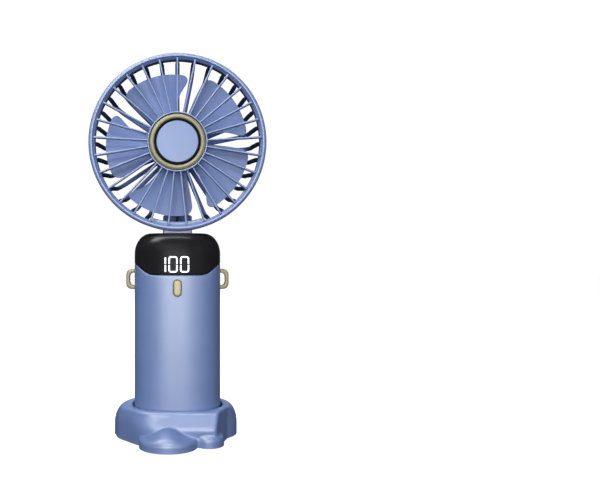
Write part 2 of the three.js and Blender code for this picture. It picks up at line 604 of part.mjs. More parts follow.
// ---------------------------------------------------------------- cradle
const cradleMound = () => {
  const { x, y, halfWidth, halfDepth, power, wallTop, collar, bottom } = CRADLE;
  const inner = SOCKET.gap + SOCKET.rim;
  const steps = FACETS.rounding;
  const foot = new THREE.Vector3();
  const rim = new THREE.Vector3();
  return lofted((turn, t, target) => {
    const row = Math.round(t * steps);
    const angle = (Math.max(row - 1, 0) / (steps - 1)) * QUARTER;
    superellipse(turn, halfWidth, halfDepth, power, foot);
    foot.x += x;
    foot.y += y;
    superellipse(turn, HANDLE.halfWidth + inner, HANDLE.halfDepth + inner, HANDLE.power, rim);
    target.lerpVectors(foot, rim, 1 - Math.cos(angle));
    target.z = row === 0 ? bottom : wallTop + (collar - wallTop) * Math.sin(angle);
  }, FACETS.handle, steps);
};

const mound = ({ x, y, halfWidth, halfDepth, height }) => {
  const ball = new THREE.SphereGeometry(1, FACETS.moundAround, FACETS.moundUp).rotateX(QUARTER);
  return solid(ball.scale(halfWidth, halfDepth, height).translate(x, y, CRADLE.bottom));
};

const frontPanel = () => {
  const { left, right, foot, knee, kneeZ, ridge, ridgeZ, back, kneeEase, kneeStep, ridgeStep } = PANEL;
  const { cornerStart, cornerEase, cornerWidth } = PANEL;
  const side = polygon([[back, CRADLE.bottom], [foot, CRADLE.bottom], [knee, kneeZ - kneeEase],
    [knee + kneeStep, kneeZ], [ridge - ridgeStep, ridgeZ - ridgeStep], [ridge + cornerEase, ridgeZ],
    [back, CRADLE.collar]]);
  const corners = new THREE.Shape();
  corners.moveTo(left, 0);
  corners.lineTo(left, cornerStart);
  corners.quadraticCurveTo(left + cornerEase, foot, left + cornerWidth, foot);
  corners.lineTo(right - cornerWidth, foot);
  corners.quadraticCurveTo(right - cornerEase, foot, right, cornerStart);
  corners.lineTo(right, 0);
  return alongX(side, left, right).intersect(alongZ(corners, -PAST, FAR, FACETS.panel));
};

const socketRoom = () => lofted((turn, t, target) => {
  const { gap } = SOCKET;
  superellipse(turn, HANDLE.halfWidth + gap, HANDLE.halfDepth + gap, HANDLE.power, target);
  target.z = THREE.MathUtils.lerp(SOCKET.floor, FAR, t);
}, FACETS.handle, 1);

const baseShell = () => {
  const body = joined([cradleMound(), frontPanel(), mound(DOME), mound(LOBE)]);
  const below = box(-FAR, FAR, -FAR, FAR, -FAR, CRADLE.bottom);
  const room = oval(PLATE.halfWidth + GAP, PLATE.halfDepth + GAP, 0, PLATE.y);
  const recess = alongZ(room, -PAST, PLATE.top + GAP, FACETS.plate);
  return body.subtract(joined([below, socketRoom(), recess]));
};

const basePlate = () => {
  const { halfWidth, halfDepth, y, bottom, top } = PLATE;
  const plate = alongZ(oval(halfWidth, halfDepth, 0, y), bottom, top, FACETS.plate);
  const holes = PLATE_SCREWS.map(([x, depth]) =>
    rodAlongZ(PLATE_SCREW.hole, bottom - PAST, PLATE_SCREW.holeTop, x, depth));
  return plate.subtract(joined(holes));
};
const plateScrew = ([x, y]) => rodAlongZ(PLATE_SCREW.radius, PLATE.bottom, PLATE_SCREW.top, x, y);
const gripPad = () => alongZ(oval(PAD.halfWidth, PAD.halfDepth, 0, PAD.y), 0, PAD.top, FACETS.plate);

// ---------------------------------------------------------------- materials
const finish = (color, roughness, metalness = 0) => ({ color, roughness, metalness });
const BLUE = finish('#7d91c3', 0.42);
const BLACK_GLOSS = finish('#1d1d20', 0.18);
const BLACK = finish('#161618', 0.5);
const GOLD = finish('#c8c39b', 0.3, 0.7);
const STEEL = finish('#b9bcc0', 0.35, 1);
const COPPER = finish('#b5733c', 0.4, 0.9);
const BOARD = finish('#1f5a3c', 0.55);
const DARK_METAL = finish('#4a4c50', 0.45, 0.8);
const PALE_PLASTIC = finish('#d8dade', 0.5);
const CELL = finish('#3f7f57', 0.45);
const RUBBER = finish('#2a2a2c', 0.85);
const BLUE_BLADE = finish('#93a6d6', 0.45);

// ---------------------------------------------------------------- assembly
const fan = new THREE.Group();
const headGroup = new THREE.Group();
headGroup.position.z = HEAD_Z;
fan.add(headGroup);

const place = (group, name, manifold, look) => {
  const mesh = new THREE.Mesh(geometryOf(manifold), new THREE.MeshStandardMaterial(look));
  mesh.name = name;
  group.add(mesh);
  return mesh;
};

// Cradle
place(fan, 'base_shell', baseShell(), BLUE);
place(fan, 'base_plate', basePlate(), BLUE);
place(fan, 'grip_pad', gripPad(), RUBBER);
PLATE_SCREWS.forEach((spot, i) => place(fan, `plate_screw_${i + 1}`, plateScrew(spot), STEEL));

// Handle
place(fan, 'handle_sleeve', handleSleeve(), BLUE);
place(fan, 'handle_end_cap', handleEndCap(), BLUE);
place(fan, 'top_cap', topCap(), BLACK_GLOSS);
place(fan, 'hinge_bracket', hingeBracket(), BLUE);
place(fan, 'hinge_pin', hingePin(), STEEL);
place(fan, 'hinge_washer', hingeWasher(), STEEL);
place(fan, 'hinge_nut', hingeNut(), STEEL);
place(fan, 'lanyard_loop_left', lanyardLoop(-1), GOLD).position.z = LOOP.z;
place(fan, 'lanyard_loop_right', lanyardLoop(1), GOLD).position.z = LOOP.z;
place(fan, 'button_bezel', buttonBezel(), GOLD);
place(fan, 'power_button', powerButton(), GOLD);
place(fan, 'tact_switch', tactSwitch(), BLACK);
place(fan, 'display_module', block(DISPLAY), PALE_PLASTIC);
place(fan, 'control_board', block(CONTROL_BOARD), BOARD);
place(fan, 'charge_board', block(CHARGE_BOARD), BOARD);
place(fan, 'port_shell', portShell(), STEEL);
place(fan, 'port_tongue', portTongue(), BLACK);
place(fan, 'battery_cell', batteryCell(), CELL);
place(fan, 'inner_frame', innerFrame(), PALE_PLASTIC);

// Head
place(fan, 'neck', neck(), BLUE);
place(headGroup, 'front_grille', frontGrille(), BLUE);
place(headGroup, 'trim_ring', trimRing(), GOLD);
place(headGroup, 'gap_ring', gapRing(), BLACK);
place(headGroup, 'hub_cap', hubCap(), BLUE);
place(headGroup, 'shroud', shroud(), BLUE);
place(headGroup, 'rear_cage', rearCage(), BLUE);
place(headGroup, 'rear_hub_cap', rearHubCap(), BLUE);
place(headGroup, 'bearing_tube', bearingTube(), STEEL);
place(headGroup, 'bearing_front', bearing(BEARING.front), DARK_METAL);
place(headGroup, 'bearing_rear', bearing(BEARING.rear), DARK_METAL);
place(headGroup, 'stator_core', statorCore(), DARK_METAL);
for (let i = 0; i < STATOR.teeth; i += 1) {
  place(headGroup, `stator_coil_${i + 1}`, statorCoil(i), COPPER);
}
place(headGroup, 'motor_board', motorBoard(), BOARD);
place(headGroup, 'motor_lead', motorLead(), RUBBER);

// Rotor
place(headGroup, 'impeller', impeller(), BLUE_BLADE);
place(headGroup, 'rotor_bell', rotorBell(), DARK_METAL);
place(headGroup, 'rotor_magnet', rotorMagnet(), BLACK);
place(headGroup, 'motor_shaft', motorShaft(), STEEL);

export default fan;
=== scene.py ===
"""Looks of a folding handheld fan in its cradle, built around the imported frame.

Shapes are worked out in millimetres and turned into metres when a mesh is made.
+Z is up and the front faces -Y.
"""
import math

import bmesh
import bpy
import numpy as np
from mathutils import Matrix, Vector


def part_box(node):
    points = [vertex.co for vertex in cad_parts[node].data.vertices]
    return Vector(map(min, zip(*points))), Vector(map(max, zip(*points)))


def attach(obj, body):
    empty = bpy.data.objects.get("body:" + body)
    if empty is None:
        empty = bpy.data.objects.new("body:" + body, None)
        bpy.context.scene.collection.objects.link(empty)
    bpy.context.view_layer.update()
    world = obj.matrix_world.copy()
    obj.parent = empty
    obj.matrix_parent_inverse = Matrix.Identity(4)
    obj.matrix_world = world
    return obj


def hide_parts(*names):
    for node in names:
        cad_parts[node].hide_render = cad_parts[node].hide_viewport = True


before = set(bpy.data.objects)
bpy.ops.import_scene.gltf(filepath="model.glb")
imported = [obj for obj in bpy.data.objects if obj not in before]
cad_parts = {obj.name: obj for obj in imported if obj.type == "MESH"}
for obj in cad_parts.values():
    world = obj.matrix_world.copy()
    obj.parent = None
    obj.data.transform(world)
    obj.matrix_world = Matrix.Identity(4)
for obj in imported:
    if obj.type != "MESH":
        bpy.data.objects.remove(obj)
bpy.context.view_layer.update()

MM = 0.001


# ---------------------------------------------------------------- frame sizes
def span(node):
    """Lowest and highest corner of a CAD node, in millimetres."""
    low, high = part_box(node)
    return np.array(low) / MM, np.array(high) / MM


GRILLE_LOW, GRILLE_HIGH = span("front_grille")
SHROUD_LOW, SHROUD_HIGH = span("shroud")
CAGE_HIGH = span("rear_cage")[1]
CAP_LOW, CAP_HIGH = span("top_cap")
SLEEVE_LOW, SLEEVE_HIGH = span("handle_sleeve")
END_LOW = span("handle_end_cap")[0]
NECK_LOW, NECK_HIGH = span("neck")
BRACKET_LOW, BRACKET_HIGH = span("hinge_bracket")
BUTTON_LOW, BUTTON_HIGH = span("power_button")
BEZEL_LOW, BEZEL_HIGH = span("button_bezel")
LOOP_LOW, LOOP_HIGH = span("lanyard_loop_right")
PORT_LOW, PORT_HIGH = span("port_shell")
BASE_LOW, BASE_HIGH = span("base_shell")
IMPELLER_LOW = span("impeller")[0]
PIN_LOW, PIN_HIGH = span("hinge_washer")

HEAD_Z = (GRILLE_LOW[2] + GRILLE_HIGH[2]) / 2
RING_RADIUS = (GRILLE_HIGH[2] - GRILLE_LOW[2]) / 2
RING_FRONT = GRILLE_LOW[1]
HALF_WIDTH = SLEEVE_HIGH[0]
HALF_DEPTH = -SLEEVE_LOW[1]
HANDLE_POWER = 2.45
HANDLE_TOP = CAP_HIGH[2]
PIN_Y = (PIN_LOW[1] + PIN_HIGH[1]) / 2
PIN_Z = (PIN_LOW[2] + PIN_HIGH[2]) / 2
PIN_HOLE = 2.2  # radius
LEAD_HOLE, LEAD_HOLE_FROM, LEAD_HOLE_TO, LEAD_Y = 1.3, 99.0, 125.0, 2.0
NECK_BACK, NECK_TOP = 10.0, 114
BLADES = 5
BLADE_LEADS = 52.5  # degrees from the line a blade's outline is measured from to its leading edge
GAP = 0.3
WALL = 1.8


# ---------------------------------------------------------------- mesh tools
def link(obj):
    bpy.context.scene.collection.objects.link(obj)
    return obj


def make(name, points, faces, sharp=35):
    """A smooth-shaded mesh object from points in millimetres, with edges sharper than an angle kept sharp."""
    mesh = bpy.data.meshes.new(name)
    mesh.from_pydata([tuple(point) for point in np.asarray(points, float) * MM], [], faces)
    mesh.validate()
    obj = link(bpy.data.objects.new(name, mesh))
    outwards(obj)
    soften(obj, sharp)
    return obj


def outwards(obj):
    """Turns all faces outwards."""
    work = bmesh.new()
    work.from_mesh(obj.data)
    bmesh.ops.recalc_face_normals(work, faces=work.faces)
    work.to_mesh(obj.data)
    work.free()


def soften(obj, sharp=35):
    obj.data.shade_smooth()
    obj.data.set_sharp_from_angle(angle=math.radians(sharp))
    return obj


def skin(rows, wrap=False, ends=True):
    """Points and faces over rows of points that each close round on themselves.
    wrap joins the last row to the first; otherwise ends closes both ends."""
    rows = np.asarray(rows, float)
    count, around = rows.shape[:2]
    faces = []
    for r in range(count if wrap else count - 1):
        low, high = r * around, ((r + 1) % count) * around
        for u in range(around):
            v = (u + 1) % around
            faces.append((low + u, low + v, high + v, high + u))
    if ends and not wrap:
        faces.append(tuple(range(around))[::-1])
        faces.append(tuple((count - 1) * around + u for u in range(around)))
    return rows.reshape(-1, 3), faces


def together(parts):
    """Several lists of points and faces as one."""
    points, faces, offset = [], [], 0
    for part_points, part_faces in parts:
        points.append(part_points)
        faces += [tuple(i + offset for i in face) for face in part_faces]
        offset += len(part_points)
    return np.concatenate(points), faces


def rounded(corners, radius, steps=5, closed=True):
    """An outline whose corners are rounded; radius is one number or one for each corner."""
    corners = [np.array(corner, float) for corner in corners]
    radii = radius if isinstance(radius, (list, tuple)) else [radius] * len(corners)
    points = []
    for i, here in enumerate(corners):
        if radii[i] <= 0 or (not closed and i in (0, len(corners) - 1)):
            points.append(here)
            continue
        before, after = corners[i - 1] - here, corners[(i + 1) % len(corners)] - here
        cut = min(radii[i], 0.49 * np.linalg.norm(before), 0.49 * np.linalg.norm(after))
        start = here + before / np.linalg.norm(before) * cut
        stop = here + after / np.linalg.norm(after) * cut
        for t in np.linspace(0, 1, steps + 1):
            points.append((1 - t) ** 2 * start + 2 * t * (1 - t) * here + t * t * stop)
    return np.array(points)


def turned(outline, segments=192, centre=(0, HEAD_Z)):
    """Points and faces of an outline of (radius, y) turned about an axis along Y.
    An outline that starts and ends at a small radius is closed there; any other closes on itself."""
    angle = np.linspace(0, 2 * np.pi, segments, endpoint=False)
    outline = np.asarray(outline, float)
    rows = [np.stack([centre[0] + r * np.sin(angle), np.full(segments, y), centre[1] + r * np.cos(angle)], 1)
            for r, y in outline]
    to_axis = outline[0][0] < 0.2 and outline[-1][0] < 0.2
    return skin(rows, wrap=not to_axis)


def prism(outline, low, high, axes):
    """Points and faces of an outline drawn out from low to high; axes are the indices of the
    outline's two directions and of the direction it is drawn out along."""
    outline = np.asarray(outline, float)
    rows = []
    for level in (low, high):
        row = np.zeros((len(outline), 3))
        row[:, axes[0]], row[:, axes[1]], row[:, axes[2]] = outline[:, 0], outline[:, 1], level
        rows.append(row)
    return skin(rows)


def tube(path, radius, sides=12, across=(1, 0, 0)):
    """Points and faces of a round bar along a path that lies in the plane square to across."""
    path, across = np.asarray(path, float), np.array(across, float)
    ahead = np.gradient(path, axis=0)
    ahead /= np.linalg.norm(ahead, axis=1)[:, None]
    side = np.cross(ahead, across)
    angle = np.linspace(0, 2 * np.pi, sides, endpoint=False)
    radius = np.broadcast_to(radius, len(path))
    rows = [point + r * (np.outer(np.cos(angle), across) + np.outer(np.sin(angle), turn))
            for point, turn, r in zip(path, side, radius)]
    return skin(rows)


def about_axis(points, degrees):
    """Points turned about the axis of the head."""
    angle = math.radians(degrees)
    x, z = points[:, 0].copy(), points[:, 2] - HEAD_Z
    turned_points = points.copy()
    turned_points[:, 0] = x * math.cos(angle) + z * math.sin(angle)
    turned_points[:, 2] = HEAD_Z - x * math.sin(angle) + z * math.cos(angle)
    return turned_points


def bake(obj):
    """Applies an object's modifiers to its mesh."""
    graph = bpy.context.evaluated_depsgraph_get()
    obj.data = bpy.data.meshes.new_from_object(obj.evaluated_get(graph))
    obj.modifiers.clear()
    return obj


def combine(obj, others, operation):
    """Joins, cuts or intersects obj with others, which are then gone."""
    for other in others:
        step = obj.modifiers.new("combine", "BOOLEAN")
        step.operation = operation
        step.solver = "EXACT"
        step.object = other
        bake(obj)
        bpy.data.objects.remove(other)
    return obj


def bevelled(obj, width, segments=3, angle=40):
    step = obj.modifiers.new("bevel", "BEVEL")
    step.width = width * MM
    step.segments = segments
    step.limit_method = "ANGLE"
    step.angle_limit = math.radians(angle)
    return soften(bake(obj))


def finished(obj, body, slot, material, *nodes):
    """Gives a piece its material and body, and hides the CAD nodes it stands for."""
    obj.data.materials.clear()
    obj.data.materials.append(material)
    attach(obj, body)
    if nodes:
        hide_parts(*nodes)
    return obj


# ---------------------------------------------------------------- materials
def tree_of(name):
    material = bpy.data.materials.new(name)
    material.use_nodes = True
    nodes = material.node_tree.nodes
    return material, material.node_tree, nodes["Principled BSDF"]


def noise(tree, scale, detail=3.0):
    coordinates = tree.nodes.new("ShaderNodeTexCoord")
    texture = tree.nodes.new("ShaderNodeTexNoise")
    texture.inputs["Scale"].default_value = scale
    texture.inputs["Detail"].default_value = detail
    tree.links.new(coordinates.outputs["Object"], texture.inputs["Vector"])
    return texture.outputs["Fac"]


def ranged(tree, value, low, high):
    """A value that runs from low to high as the noise does."""
    node = tree.nodes.new("ShaderNodeMapRange")
    node.inputs["From Min"].default_value = 0.3
    node.inputs["From Max"].default_value = 0.7
    node.inputs["To Min"].default_value = low
    node.inputs["To Max"].default_value = high
    tree.links.new(value, node.inputs["Value"])
    return node.outputs["Result"]


def mixed(tree, value, dark, light):
    ramp = tree.nodes.new("ShaderNodeValToRGB")
    ramp.color_ramp.elements[0].position = 0.3
    ramp.color_ramp.elements[0].color = (*dark, 1)
    ramp.color_ramp.elements[1].position = 0.7
    ramp.color_ramp.elements[1].color = (*light, 1)
    tree.links.new(value, ramp.inputs["Fac"])
    return ramp.outputs["Color"]


def surface(name, colour, roughness, vary=0.05, metallic=0.0, coat=0.0, grain=2400, grain_depth=0.00001,
            roughness_vary=0.04, specular=0.5, index=1.5):
    """A moulded or metal surface: faint changes of tone, a fine grain and uneven gloss."""
    material, tree, shader = tree_of(name)
    dark = [c * (1 - vary) for c in colour]
    light = [min(1.0, c * (1 + vary)) for c in colour]
    cloud = noise(tree, 60)
    fine = noise(tree, grain, 2.0)
    tree.links.new(mixed(tree, cloud, dark, light), shader.inputs["Base Color"])
    tree.links.new(ranged(tree, fine, roughness - roughness_vary, roughness + roughness_vary),
                   shader.inputs["Roughness"])
    bump = tree.nodes.new("ShaderNodeBump")
    bump.inputs["Strength"].default_value = 0.25
    bump.inputs["Distance"].default_value = grain_depth
    tree.links.new(fine, bump.inputs["Height"])
    tree.links.new(bump.outputs["Normal"], shader.inputs["Normal"])
    shader.inputs["Metallic"].default_value = metallic
    shader.inputs["IOR"].default_value = index
    shader.inputs["Specular IOR Level"].default_value = specular
    shader.inputs["Coat Weight"].default_value = coat
    shader.inputs["Coat Roughness"].default_value = 0.12
    return material


def glow(name, colour, strength):
    material, tree, shader = tree_of(name)
    tree.links.new(mixed(tree, noise(tree, 900), [c * 0.97 for c in colour], colour),
                   shader.inputs["Emission Color"])
    shader.inputs["Base Color"].default_value = (*colour, 1)
    shader.inputs["Emission Strength"].default_value = strength
    return material


def satin_black(name):
    """Black that hardly shines face on and shines more towards the edges."""
    material = surface(name, (0.010, 0.010, 0.012), 0.34, grain_depth=0.000002, specular=0.05)
    tree = material.node_tree
    facing = tree.nodes.new("ShaderNodeLayerWeight")
    facing.inputs["Blend"].default_value = 0.5
    gloss = tree.nodes.new("ShaderNodeMapRange")
    gloss.inputs["From Min"].default_value = 0.06
    gloss.inputs["From Max"].default_value = 0.3
    gloss.inputs["To Min"].default_value = 0.03
    gloss.inputs["To Max"].default_value = 0.8
    tree.links.new(facing.outputs["Facing"], gloss.inputs["Value"])
    shader = tree.nodes["Principled BSDF"]
    tree.links.new(gloss.outputs["Result"], shader.inputs["Coat Weight"])
    shader.inputs["Coat Roughness"].default_value = 0.24
    return material


def shaded(material, dark, value, low, high):
    """Paints shade into a material's colour: turns it to dark where value is low or less, and leaves it as it
    is from high on.
    """
    tree = material.node_tree
    shader = tree.nodes["Principled BSDF"]
    colour = shader.inputs["Base Color"].links[0].from_socket
    share = tree.nodes.new("ShaderNodeMapRange")
    share.interpolation_type = "SMOOTHSTEP"
    share.inputs["From Min"].default_value = low
    share.inputs["From Max"].default_value = high
    tree.links.new(value, share.inputs["Value"])
    mix = tree.nodes.new("ShaderNodeMix")
    mix.data_type = "RGBA"
    mix.inputs[6].default_value = (*dark, 1)
    tree.links.new(share.outputs["Result"], mix.inputs[0])
    tree.links.new(colour, mix.inputs[7])
    tree.links.new(mix.outputs[2], shader.inputs["Base Color"])
    return material


def place_in(tree):
    """The X, Y and Z of the surface, in metres."""
    coordinates = tree.nodes.new("ShaderNodeTexCoord")
    split = tree.nodes.new("ShaderNodeSeparateXYZ")
    tree.links.new(coordinates.outputs["Object"], split.inputs["Vector"])
    return [split.outputs[axis] for axis in "XYZ"]


def worked_out(tree, operation, first, second):
    """A Math node of two values, each a socket or a number."""
    node = tree.nodes.new("ShaderNodeMath")
    node.operation = operation
    for socket, value in zip(node.inputs, (first, second)):
        if isinstance(value, (int, float)):
            socket.default_value = value
        else:
            tree.links.new(value, socket)
    return node.outputs["Value"]


def cage_blue_painted_shade(name):
    """A darker copy of the casing's blue, as painted shade, painted darker still towards the front, where the
    cage lies in the shade of the ring.
    """
    material = surface(name, (0.10, 0.16, 0.36), 0.5, index=1.45, specular=0.3)
    # painted shade: near black in front of y = 2 mm, easing back to the cage's blue by y = 18 mm
    return shaded(material, (0.016, 0.026, 0.06), place_in(material.node_tree)[1], 0.002, 0.018)


def blade_blue_painted_shade(name):
    """A paler blue with painted shade that darkens it towards the leading edge of each blade."""
    material = surface(name, (0.215, 0.305, 0.58), 0.5, index=1.5)
    tree = material.node_tree
    x, _, z = place_in(tree)
    angle = worked_out(tree, "ARCTAN2", x, worked_out(tree, "SUBTRACT", z, HEAD_Z * MM))
    pitch = 2 * math.pi / BLADES
    turns = worked_out(tree, "DIVIDE", worked_out(tree, "ADD", angle, math.radians(BLADE_LEADS)), pitch)
    # painted shade: each blade's colour falls to a dark blue at its leading edge and comes back by 0.45 of
    # the way across
    return shaded(material, (0.095, 0.15, 0.31), worked_out(tree, "FRACT", turns, 0.0), 0.0, 0.45)


BLUE = surface("satin_blue", (0.118, 0.184, 0.385), 0.45, index=2.1)
BLUE_HUB = surface("hub_blue", (0.13, 0.20, 0.405), 0.45, index=1.7)
# the blades' blue carries painted shade towards each leading edge
BLUE_BLADE_PAINTED_SHADE = blade_blue_painted_shade("blade_blue_painted_shade")
# the cage's blue carries painted shade: darker all over, and darker still towards the front
BLUE_CAGE_PAINTED_SHADE = cage_blue_painted_shade("cage_blue_painted_shade")
BLACK_GLOSS = satin_black("cap_black")
BLACK = surface("matt_black", (0.004, 0.004, 0.005), 0.6, specular=0.05)
GOLD = surface("champagne", (0.28, 0.262, 0.15), 0.5, metallic=0.3)
CREAM = surface("button_cream", (0.42, 0.38, 0.23), 0.45, index=1.6)
STEEL = surface("zinc_steel", (0.56, 0.57, 0.58), 0.3, metallic=1.0)
DARK_STEEL = surface("motor_steel", (0.10, 0.105, 0.11), 0.4, metallic=0.8)
BRASS = surface("turned_brass", (0.62, 0.46, 0.19), 0.3, metallic=1.0)
COPPER = surface("winding_copper", (0.55, 0.22, 0.08), 0.35, metallic=0.9, grain=5200, grain_depth=0.00008)
BOARD = surface("solder_mask", (0.02, 0.12, 0.055), 0.35, vary=0.2, coat=0.3)
PALE = surface("pale_plastic", (0.66, 0.68, 0.71), 0.45)
CELL = surface("cell_wrap", (0.05, 0.22, 0.1), 0.35, coat=0.2)
MAGNET = surface("bonded_magnet", (0.03, 0.03, 0.032), 0.55)
RUBBER = surface("rubber", (0.03, 0.03, 0.032), 0.75, grain=3200, grain_depth=0.00004)
LIGHT = glow("digit_glow", (0.88, 0.9, 0.94), 1.0)


# ---------------------------------------------------------------- handle
AROUND = 192


def column_ring(half_width, half_depth, z):
    """A level section of the handle's column."""
    turn = np.linspace(0, 2 * np.pi, AROUND, endpoint=False)
    cos, sin = np.cos(turn), np.sin(turn)
    bend = 2 / HANDLE_POWER
    return np.stack([half_width * np.sign(cos) * np.abs(cos) ** bend,
                     half_depth * np.sign(sin) * np.abs(sin) ** bend,
                     np.broadcast_to(np.asarray(z, float), AROUND)], 1)


SEAM_FRONT = CAP_LOW[2] - GAP / 2
SEAM_SIDE = SLEEVE_HIGH[2] + GAP / 2
SEAM_BEND = 15.6
SEAM_SLOPE = 0.86
SEAM_EASE = 1.2


def seam_height(row):
    """Height of the line between sleeve and cap at each point of a section."""
    x, y = np.abs(row[:, 0]), row[:, 1]
    rise = SEAM_SLOPE * SEAM_EASE * np.log1p(np.exp((x - SEAM_BEND) / SEAM_EASE))
    front = SEAM_SIDE - SEAM_EASE * 0.5 * np.log1p(np.exp((SEAM_SIDE - SEAM_FRONT - rise) * 2 / SEAM_EASE))
    front = np.maximum(front, SEAM_FRONT)
    return np.where(y < 0, front, SEAM_SIDE)


def inset_ring(inset, z):
    return column_ring(HALF_WIDTH - inset, HALF_DEPTH - inset, z)


def hinge_room(margin=GAP):
    """A cutter for the opening that the hinge moves in, through the back of the casing."""
    half = BRACKET_HIGH[0] + margin
    front, bottom = BRACKET_LOW[1] - margin, 87.5
    points, faces = prism([(-half, front), (half, front), (half, 40), (-half, 40)], bottom, 140, (0, 1, 2))
    return make("cutter", points, faces)


def pill(width, height, x, z, steps=16):
    """Outline of an upright pill."""
    radius, straight = width / 2, (height - width) / 2
    upper = [(x + radius * math.cos(a), z + straight + radius * math.sin(a))
             for a in np.linspace(0, math.pi, steps)]
    lower = [(x + radius * math.cos(a), z - straight + radius * math.sin(a))
             for a in np.linspace(math.pi, 2 * math.pi, steps)]
    return upper + lower


def build_sleeve():
    edge = 0.35
    outer = inset_ring(0, 0)
    top = seam_height(outer) - GAP / 2
    bottom = SLEEVE_LOW[2]
    rows = [inset_ring(WALL, bottom), inset_ring(0.2, bottom), inset_ring(0, bottom + 0.2)]
    for t in np.linspace(0.05, 1, 40):
        rows.append(inset_ring(0, bottom + (top - edge - bottom) * t))
    for angle in np.linspace(0, math.pi / 2, 5)[1:]:
        rows.append(inset_ring(edge * (1 - math.cos(angle)), top - edge + edge * math.sin(angle)))
    rows.append(inset_ring(WALL, top))
    points, faces = skin(rows, wrap=True)
    sleeve = make("sleeve_skin", points, faces)
    middle = (BUTTON_LOW[2] + BUTTON_HIGH[2]) / 2
    bezel_width, bezel_height = (BEZEL_HIGH - BEZEL_LOW)[[0, 2]]
    button_hole = pill(bezel_width + 0.1, bezel_height + 0.1, 0, middle)
    port_middle = (PORT_LOW[2] + PORT_HIGH[2]) / 2
    port_hole = [(z, x + port_middle) for x, z in
                 pill(PORT_HIGH[2] - PORT_LOW[2] + 0.4, PORT_HIGH[0] * 2 + 0.4, 0, 0)]
    cutters = [hinge_room(), make("cutter", *prism(button_hole, -25, -10, (0, 2, 1))),
               make("cutter", *prism(port_hole, 10, 25, (0, 2, 1)))]
    for side in (-1, 1):
        for z in (LOOP_LOW[2] + 1, LOOP_HIGH[2] - 1):
            leg = [(-2.15, z - 1.15), (2.15, z - 1.15), (2.15, z + 1.15), (-2.15, z + 1.15)]
            low, high = sorted((side * 18, side * 26))
            cutters.append(make("cutter", *prism(leg, low, high, (1, 2, 0))))
    combine(sleeve, cutters, "DIFFERENCE")
    return finished(soften(sleeve), "handle", "blue_shell", BLUE, "handle_sleeve")


def build_end_cap():
    rounding = 4.5
    bottom, top = END_LOW[2], SLEEVE_LOW[2] - GAP
    rows = [inset_ring(HALF_DEPTH - 1, bottom + WALL), inset_ring(rounding + 6, bottom + WALL)]
    rows += [inset_ring(WALL + 2, bottom + WALL + 2), inset_ring(WALL + 2, top), inset_ring(0.2, top)]
    for angle in np.linspace(0, math.pi / 2, 10):
        inset = rounding * (1 - math.cos(angle))
        rows.append(inset_ring(inset, bottom + rounding * (1 - math.sin(angle))))
    rows.append(inset_ring(HALF_DEPTH - 1, bottom))
    points, faces = skin(rows)
    return finished(make("end_cap_skin", points, faces), "handle", "blue_shell", BLUE, "handle_end_cap")


CAP_START, CAP_WIDTH, CAP_DEPTH = 97.6, 8.6, 5.0


def cap_rows(inset, top):
    """Sections of the cap's rounded end, from where the rounding starts to near the middle of the top."""
    rows = []
    for angle in np.linspace(0, math.pi / 2, 18)[1:]:
        pulled = 1 - math.cos(angle)
        rows.append(column_ring(HALF_WIDTH - inset - CAP_WIDTH * pulled,
                                HALF_DEPTH - inset - CAP_DEPTH * pulled,
                                CAP_START + (top - CAP_START) * math.sin(angle)))
    for share in (0.85, 0.6, 0.3, 0.02):
        rows.append(rows[16] * [share, share, 1] if len(rows) > 16 else rows[-1])
    return rows


def build_cap():
    edge = 0.35
    bottom = seam_height(inset_ring(0, 0)) + GAP / 2
    outer = []
    for t in np.linspace(0, 1, 12):
        outer.append(inset_ring(0, bottom + edge + (CAP_START - bottom - edge) * t))
    rim = [inset_ring(edge * (1 - math.sin(a)), bottom + edge * (1 - math.cos(a)))
           for a in np.linspace(0, math.pi / 2, 5)[:-1]]
    inner = [inset_ring(WALL, bottom + (CAP_START - bottom) * t) for t in np.linspace(1, 0, 6)]
    rows = cap_rows(WALL, HANDLE_TOP - WALL)[::-1] + inner + rim + outer + cap_rows(0, HANDLE_TOP)
    points, faces = skin(rows)
    cap = make("cap_skin", points, faces)
    combine(cap, [hinge_room()], "DIFFERENCE")
    return finished(soften(cap, 40), "handle", "black_gloss", BLACK_GLOSS, "top_cap")


def round_bar(radius, centre, low, high, axes, segments=64):
    """A round cutter drawn out from low to high; axes as for prism."""
    angle = np.linspace(0, 2 * np.pi, segments, endpoint=False)
    outline = radius * np.stack([np.cos(angle), np.sin(angle)], 1) + centre
    return make("cutter", *prism(outline, low, high, axes))


def pin_hole():
    """The hinge pin's clearance hole, right across the hinge."""
    return round_bar(PIN_HOLE, (PIN_Y, PIN_Z), -HALF_WIDTH, HALF_WIDTH, (1, 2, 0))


def lead_hole():
    """The motor lead's way up out of the neck and through the web above it."""
    return round_bar(LEAD_HOLE, (0, LEAD_Y), LEAD_HOLE_FROM, LEAD_HOLE_TO, (0, 1, 2))


def build_bracket():
    half, wall, corner = BRACKET_HIGH[0], 1.2, 2.4
    front, back, bottom = BRACKET_LOW[1], BRACKET_HIGH[1], BRACKET_LOW[2]
    outline = rounded([(-half, back), (-half, front), (half, front), (half, back), (half - wall, back),
                       (half - wall, front + wall), (-half + wall, front + wall), (-half + wall, back)],
                      [0, corner, corner, 0, 0, corner - wall, corner - wall, 0], steps=8)
    bracket = make("bracket_skin", *prism(outline, bottom, HANDLE_TOP + 1, (0, 1, 2)))
    rows = [column_ring(HALF_WIDTH - 0.5, HALF_DEPTH - 0.5, bottom - 1)]
    rows += cap_rows(0.5, HANDLE_TOP - GAP)
    casing = make("cutter", *skin(rows))
    combine(bracket, [casing], "INTERSECT")
    bevelled(bracket, 0.3, 3, 50)
    combine(bracket, [pin_hole()], "DIFFERENCE")
    soften(bracket)
    return finished(bracket, "handle", "blue_shell", BLUE, "hinge_bracket")


